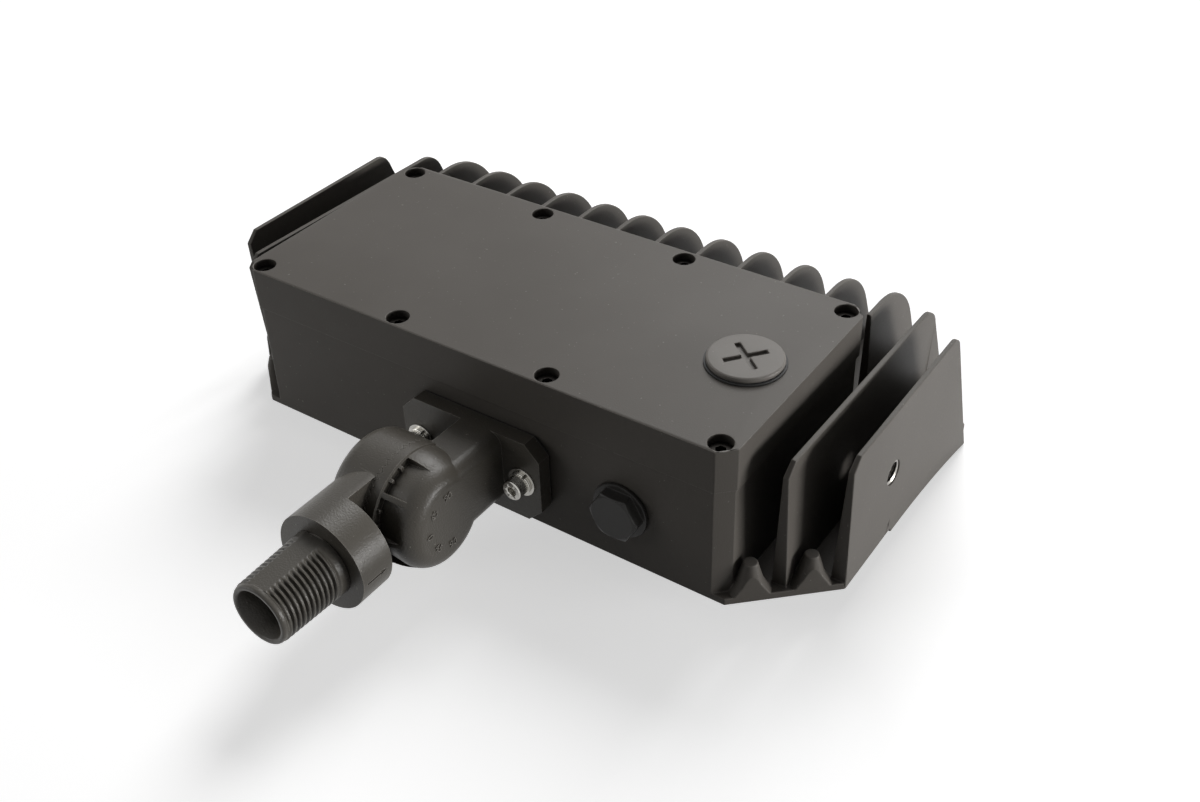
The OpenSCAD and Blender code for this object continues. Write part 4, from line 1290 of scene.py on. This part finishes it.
@dataclass
class Studio:
    """Camera, pale floor, white surround and lamps. Metres."""

    camera_place: Place = (0.239997, -0.181632, 0.280746)
    right: Place = (0.81959, 0.572011, -0.032799)
    down: Place = (0.302688, -0.480882, -0.822881)
    forward: Place = (-0.486469, 0.664497, -0.567266)
    lens: float = 41.509
    sensor: float = 36.0
    shift: tuple[float, float] = (0.015, -0.05)
    clip: tuple[float, float] = (0.01, 20)
    floor_half: float = 4.0
    fill: float = 0.05
    floor_gap: float = 0.0002
    floor_glow: float = 0.55
    floor_pale: str = "eeeeee"
    floor_dull: str = "5a5a5a"
    boxes: list[SoftBox] = field(default_factory=lambda: [
        SoftBox("back_box", (-0.2, 1.0, 0.95), (0.0, 0.08, 0.0), 0.7, 0.8, 12.2),
        SoftBox("right_box", (1.0, 0.4, 0.06), (0.1, 0.14, 0.0), 0.4, 0.25, 8.5),
        SoftBox("left_box", (-0.95, -0.7, 0.4), (0.0, 0.08, 0.0), 0.5, 0.5, 2.6),
    ])

    def camera(self) -> None:
        """Places the camera at the photograph's viewing angle."""
        data = bpy.data.cameras.new("camera")
        data.lens, data.sensor_width = self.lens, self.sensor
        data.shift_x, data.shift_y = self.shift
        data.clip_start, data.clip_end = self.clip
        camera = bpy.data.objects.new("camera", data)
        bpy.context.scene.collection.objects.link(camera)
        up, back = -Vector(self.down), -Vector(self.forward)
        turn = Matrix((self.right, up, back)).transposed().to_4x4()
        camera.matrix_world = Matrix.Translation(Vector(self.camera_place)) @ turn
        bpy.context.scene.camera = camera

    def seen_directly(self, tree: bpy.types.NodeTree) -> bpy.types.NodeSocket:
        """Tells rays that show a surface from rays that only light others by it.

        Args:
            tree: The node tree that gets the nodes.

        Returns:
            A socket that is one for camera, glossy and transmission rays, or else zero.
        """
        path = add_node(tree, "ShaderNodeLightPath")
        two = add_node(tree, "ShaderNodeMath", {"operation": "ADD"},
                       {0: path.outputs["Is Camera Ray"], 1: path.outputs["Is Glossy Ray"]})
        return add_node(tree, "ShaderNodeMath", {"operation": "ADD", "use_clamp": True},
                        {0: two.outputs["Value"],
                         1: path.outputs["Is Transmission Ray"]}).outputs["Value"]

    def surround(self) -> None:
        """Makes a white surround that lights the object only a little."""
        world = bpy.data.worlds.new("studio")
        world.use_nodes = True
        tree = world.node_tree
        tree.nodes.clear()
        strength = add_node(tree, "ShaderNodeMapRange", {"To Min": self.fill, "To Max": 1.0},
                            {"Value": self.seen_directly(tree)})
        sky = add_node(tree, "ShaderNodeBackground", {"Color": linear("ffffff")},
                       {"Strength": strength.outputs["Result"]})
        add_node(tree, "ShaderNodeOutputWorld", {}, {"Surface": sky.outputs["Background"]})
        bpy.context.scene.world = world

    def floor(self) -> None:
        """Lays a pale floor that keeps the object's shadow, and is dull to bounced light."""
        h, z = self.floor_half, cad_box[0].z - self.floor_gap
        bm = bmesh.new()
        bm.faces.new([bm.verts.new((x, y, z)) for x, y in ((-h, -h), (h, -h), (h, h), (-h, h))])
        floor = link_piece(to_mesh(bm, "floor"), "floor")
        material = bpy.data.materials.new("pale_floor")
        material.use_nodes = True
        tree = material.node_tree
        tree.nodes.clear()
        seen = self.seen_directly(tree)
        dull = add_node(tree, "ShaderNodeBsdfDiffuse", {"Color": linear(self.floor_dull)})
        pale = add_node(tree, "ShaderNodeBsdfDiffuse", {"Color": linear(self.floor_pale)})
        glow = add_node(tree, "ShaderNodeEmission",
                        {"Color": linear("ffffff"), "Strength": self.floor_glow})
        lit = add_node(tree, "ShaderNodeAddShader", {},
                       {0: pale.outputs["BSDF"], 1: glow.outputs["Emission"]})
        both = add_node(tree, "ShaderNodeMixShader", {},
                        {0: seen, 1: dull.outputs["BSDF"], 2: lit.outputs["Shader"]})
        add_node(tree, "ShaderNodeOutputMaterial", {}, {"Surface": both.outputs["Shader"]})
        floor.data.materials.append(material)

    def build(self) -> None:
        """Builds the whole studio."""
        self.camera()
        self.surround()
        self.floor()
        for box in self.boxes:
            box.build()
        bpy.context.scene.view_settings.view_transform = "Standard"


def main() -> None:
    """Builds the light and its studio."""
    logging.basicConfig(level=logging.INFO, format="%(name)s: %(message)s")
    for part in (Studio(), Knuckle(), Housing(), Driver(), Lamp()):
        part.build()
        LOG.info("%s is done", type(part).__name__)
    bpy.context.view_layer.update()


if __name__ == "__main__":
    main()
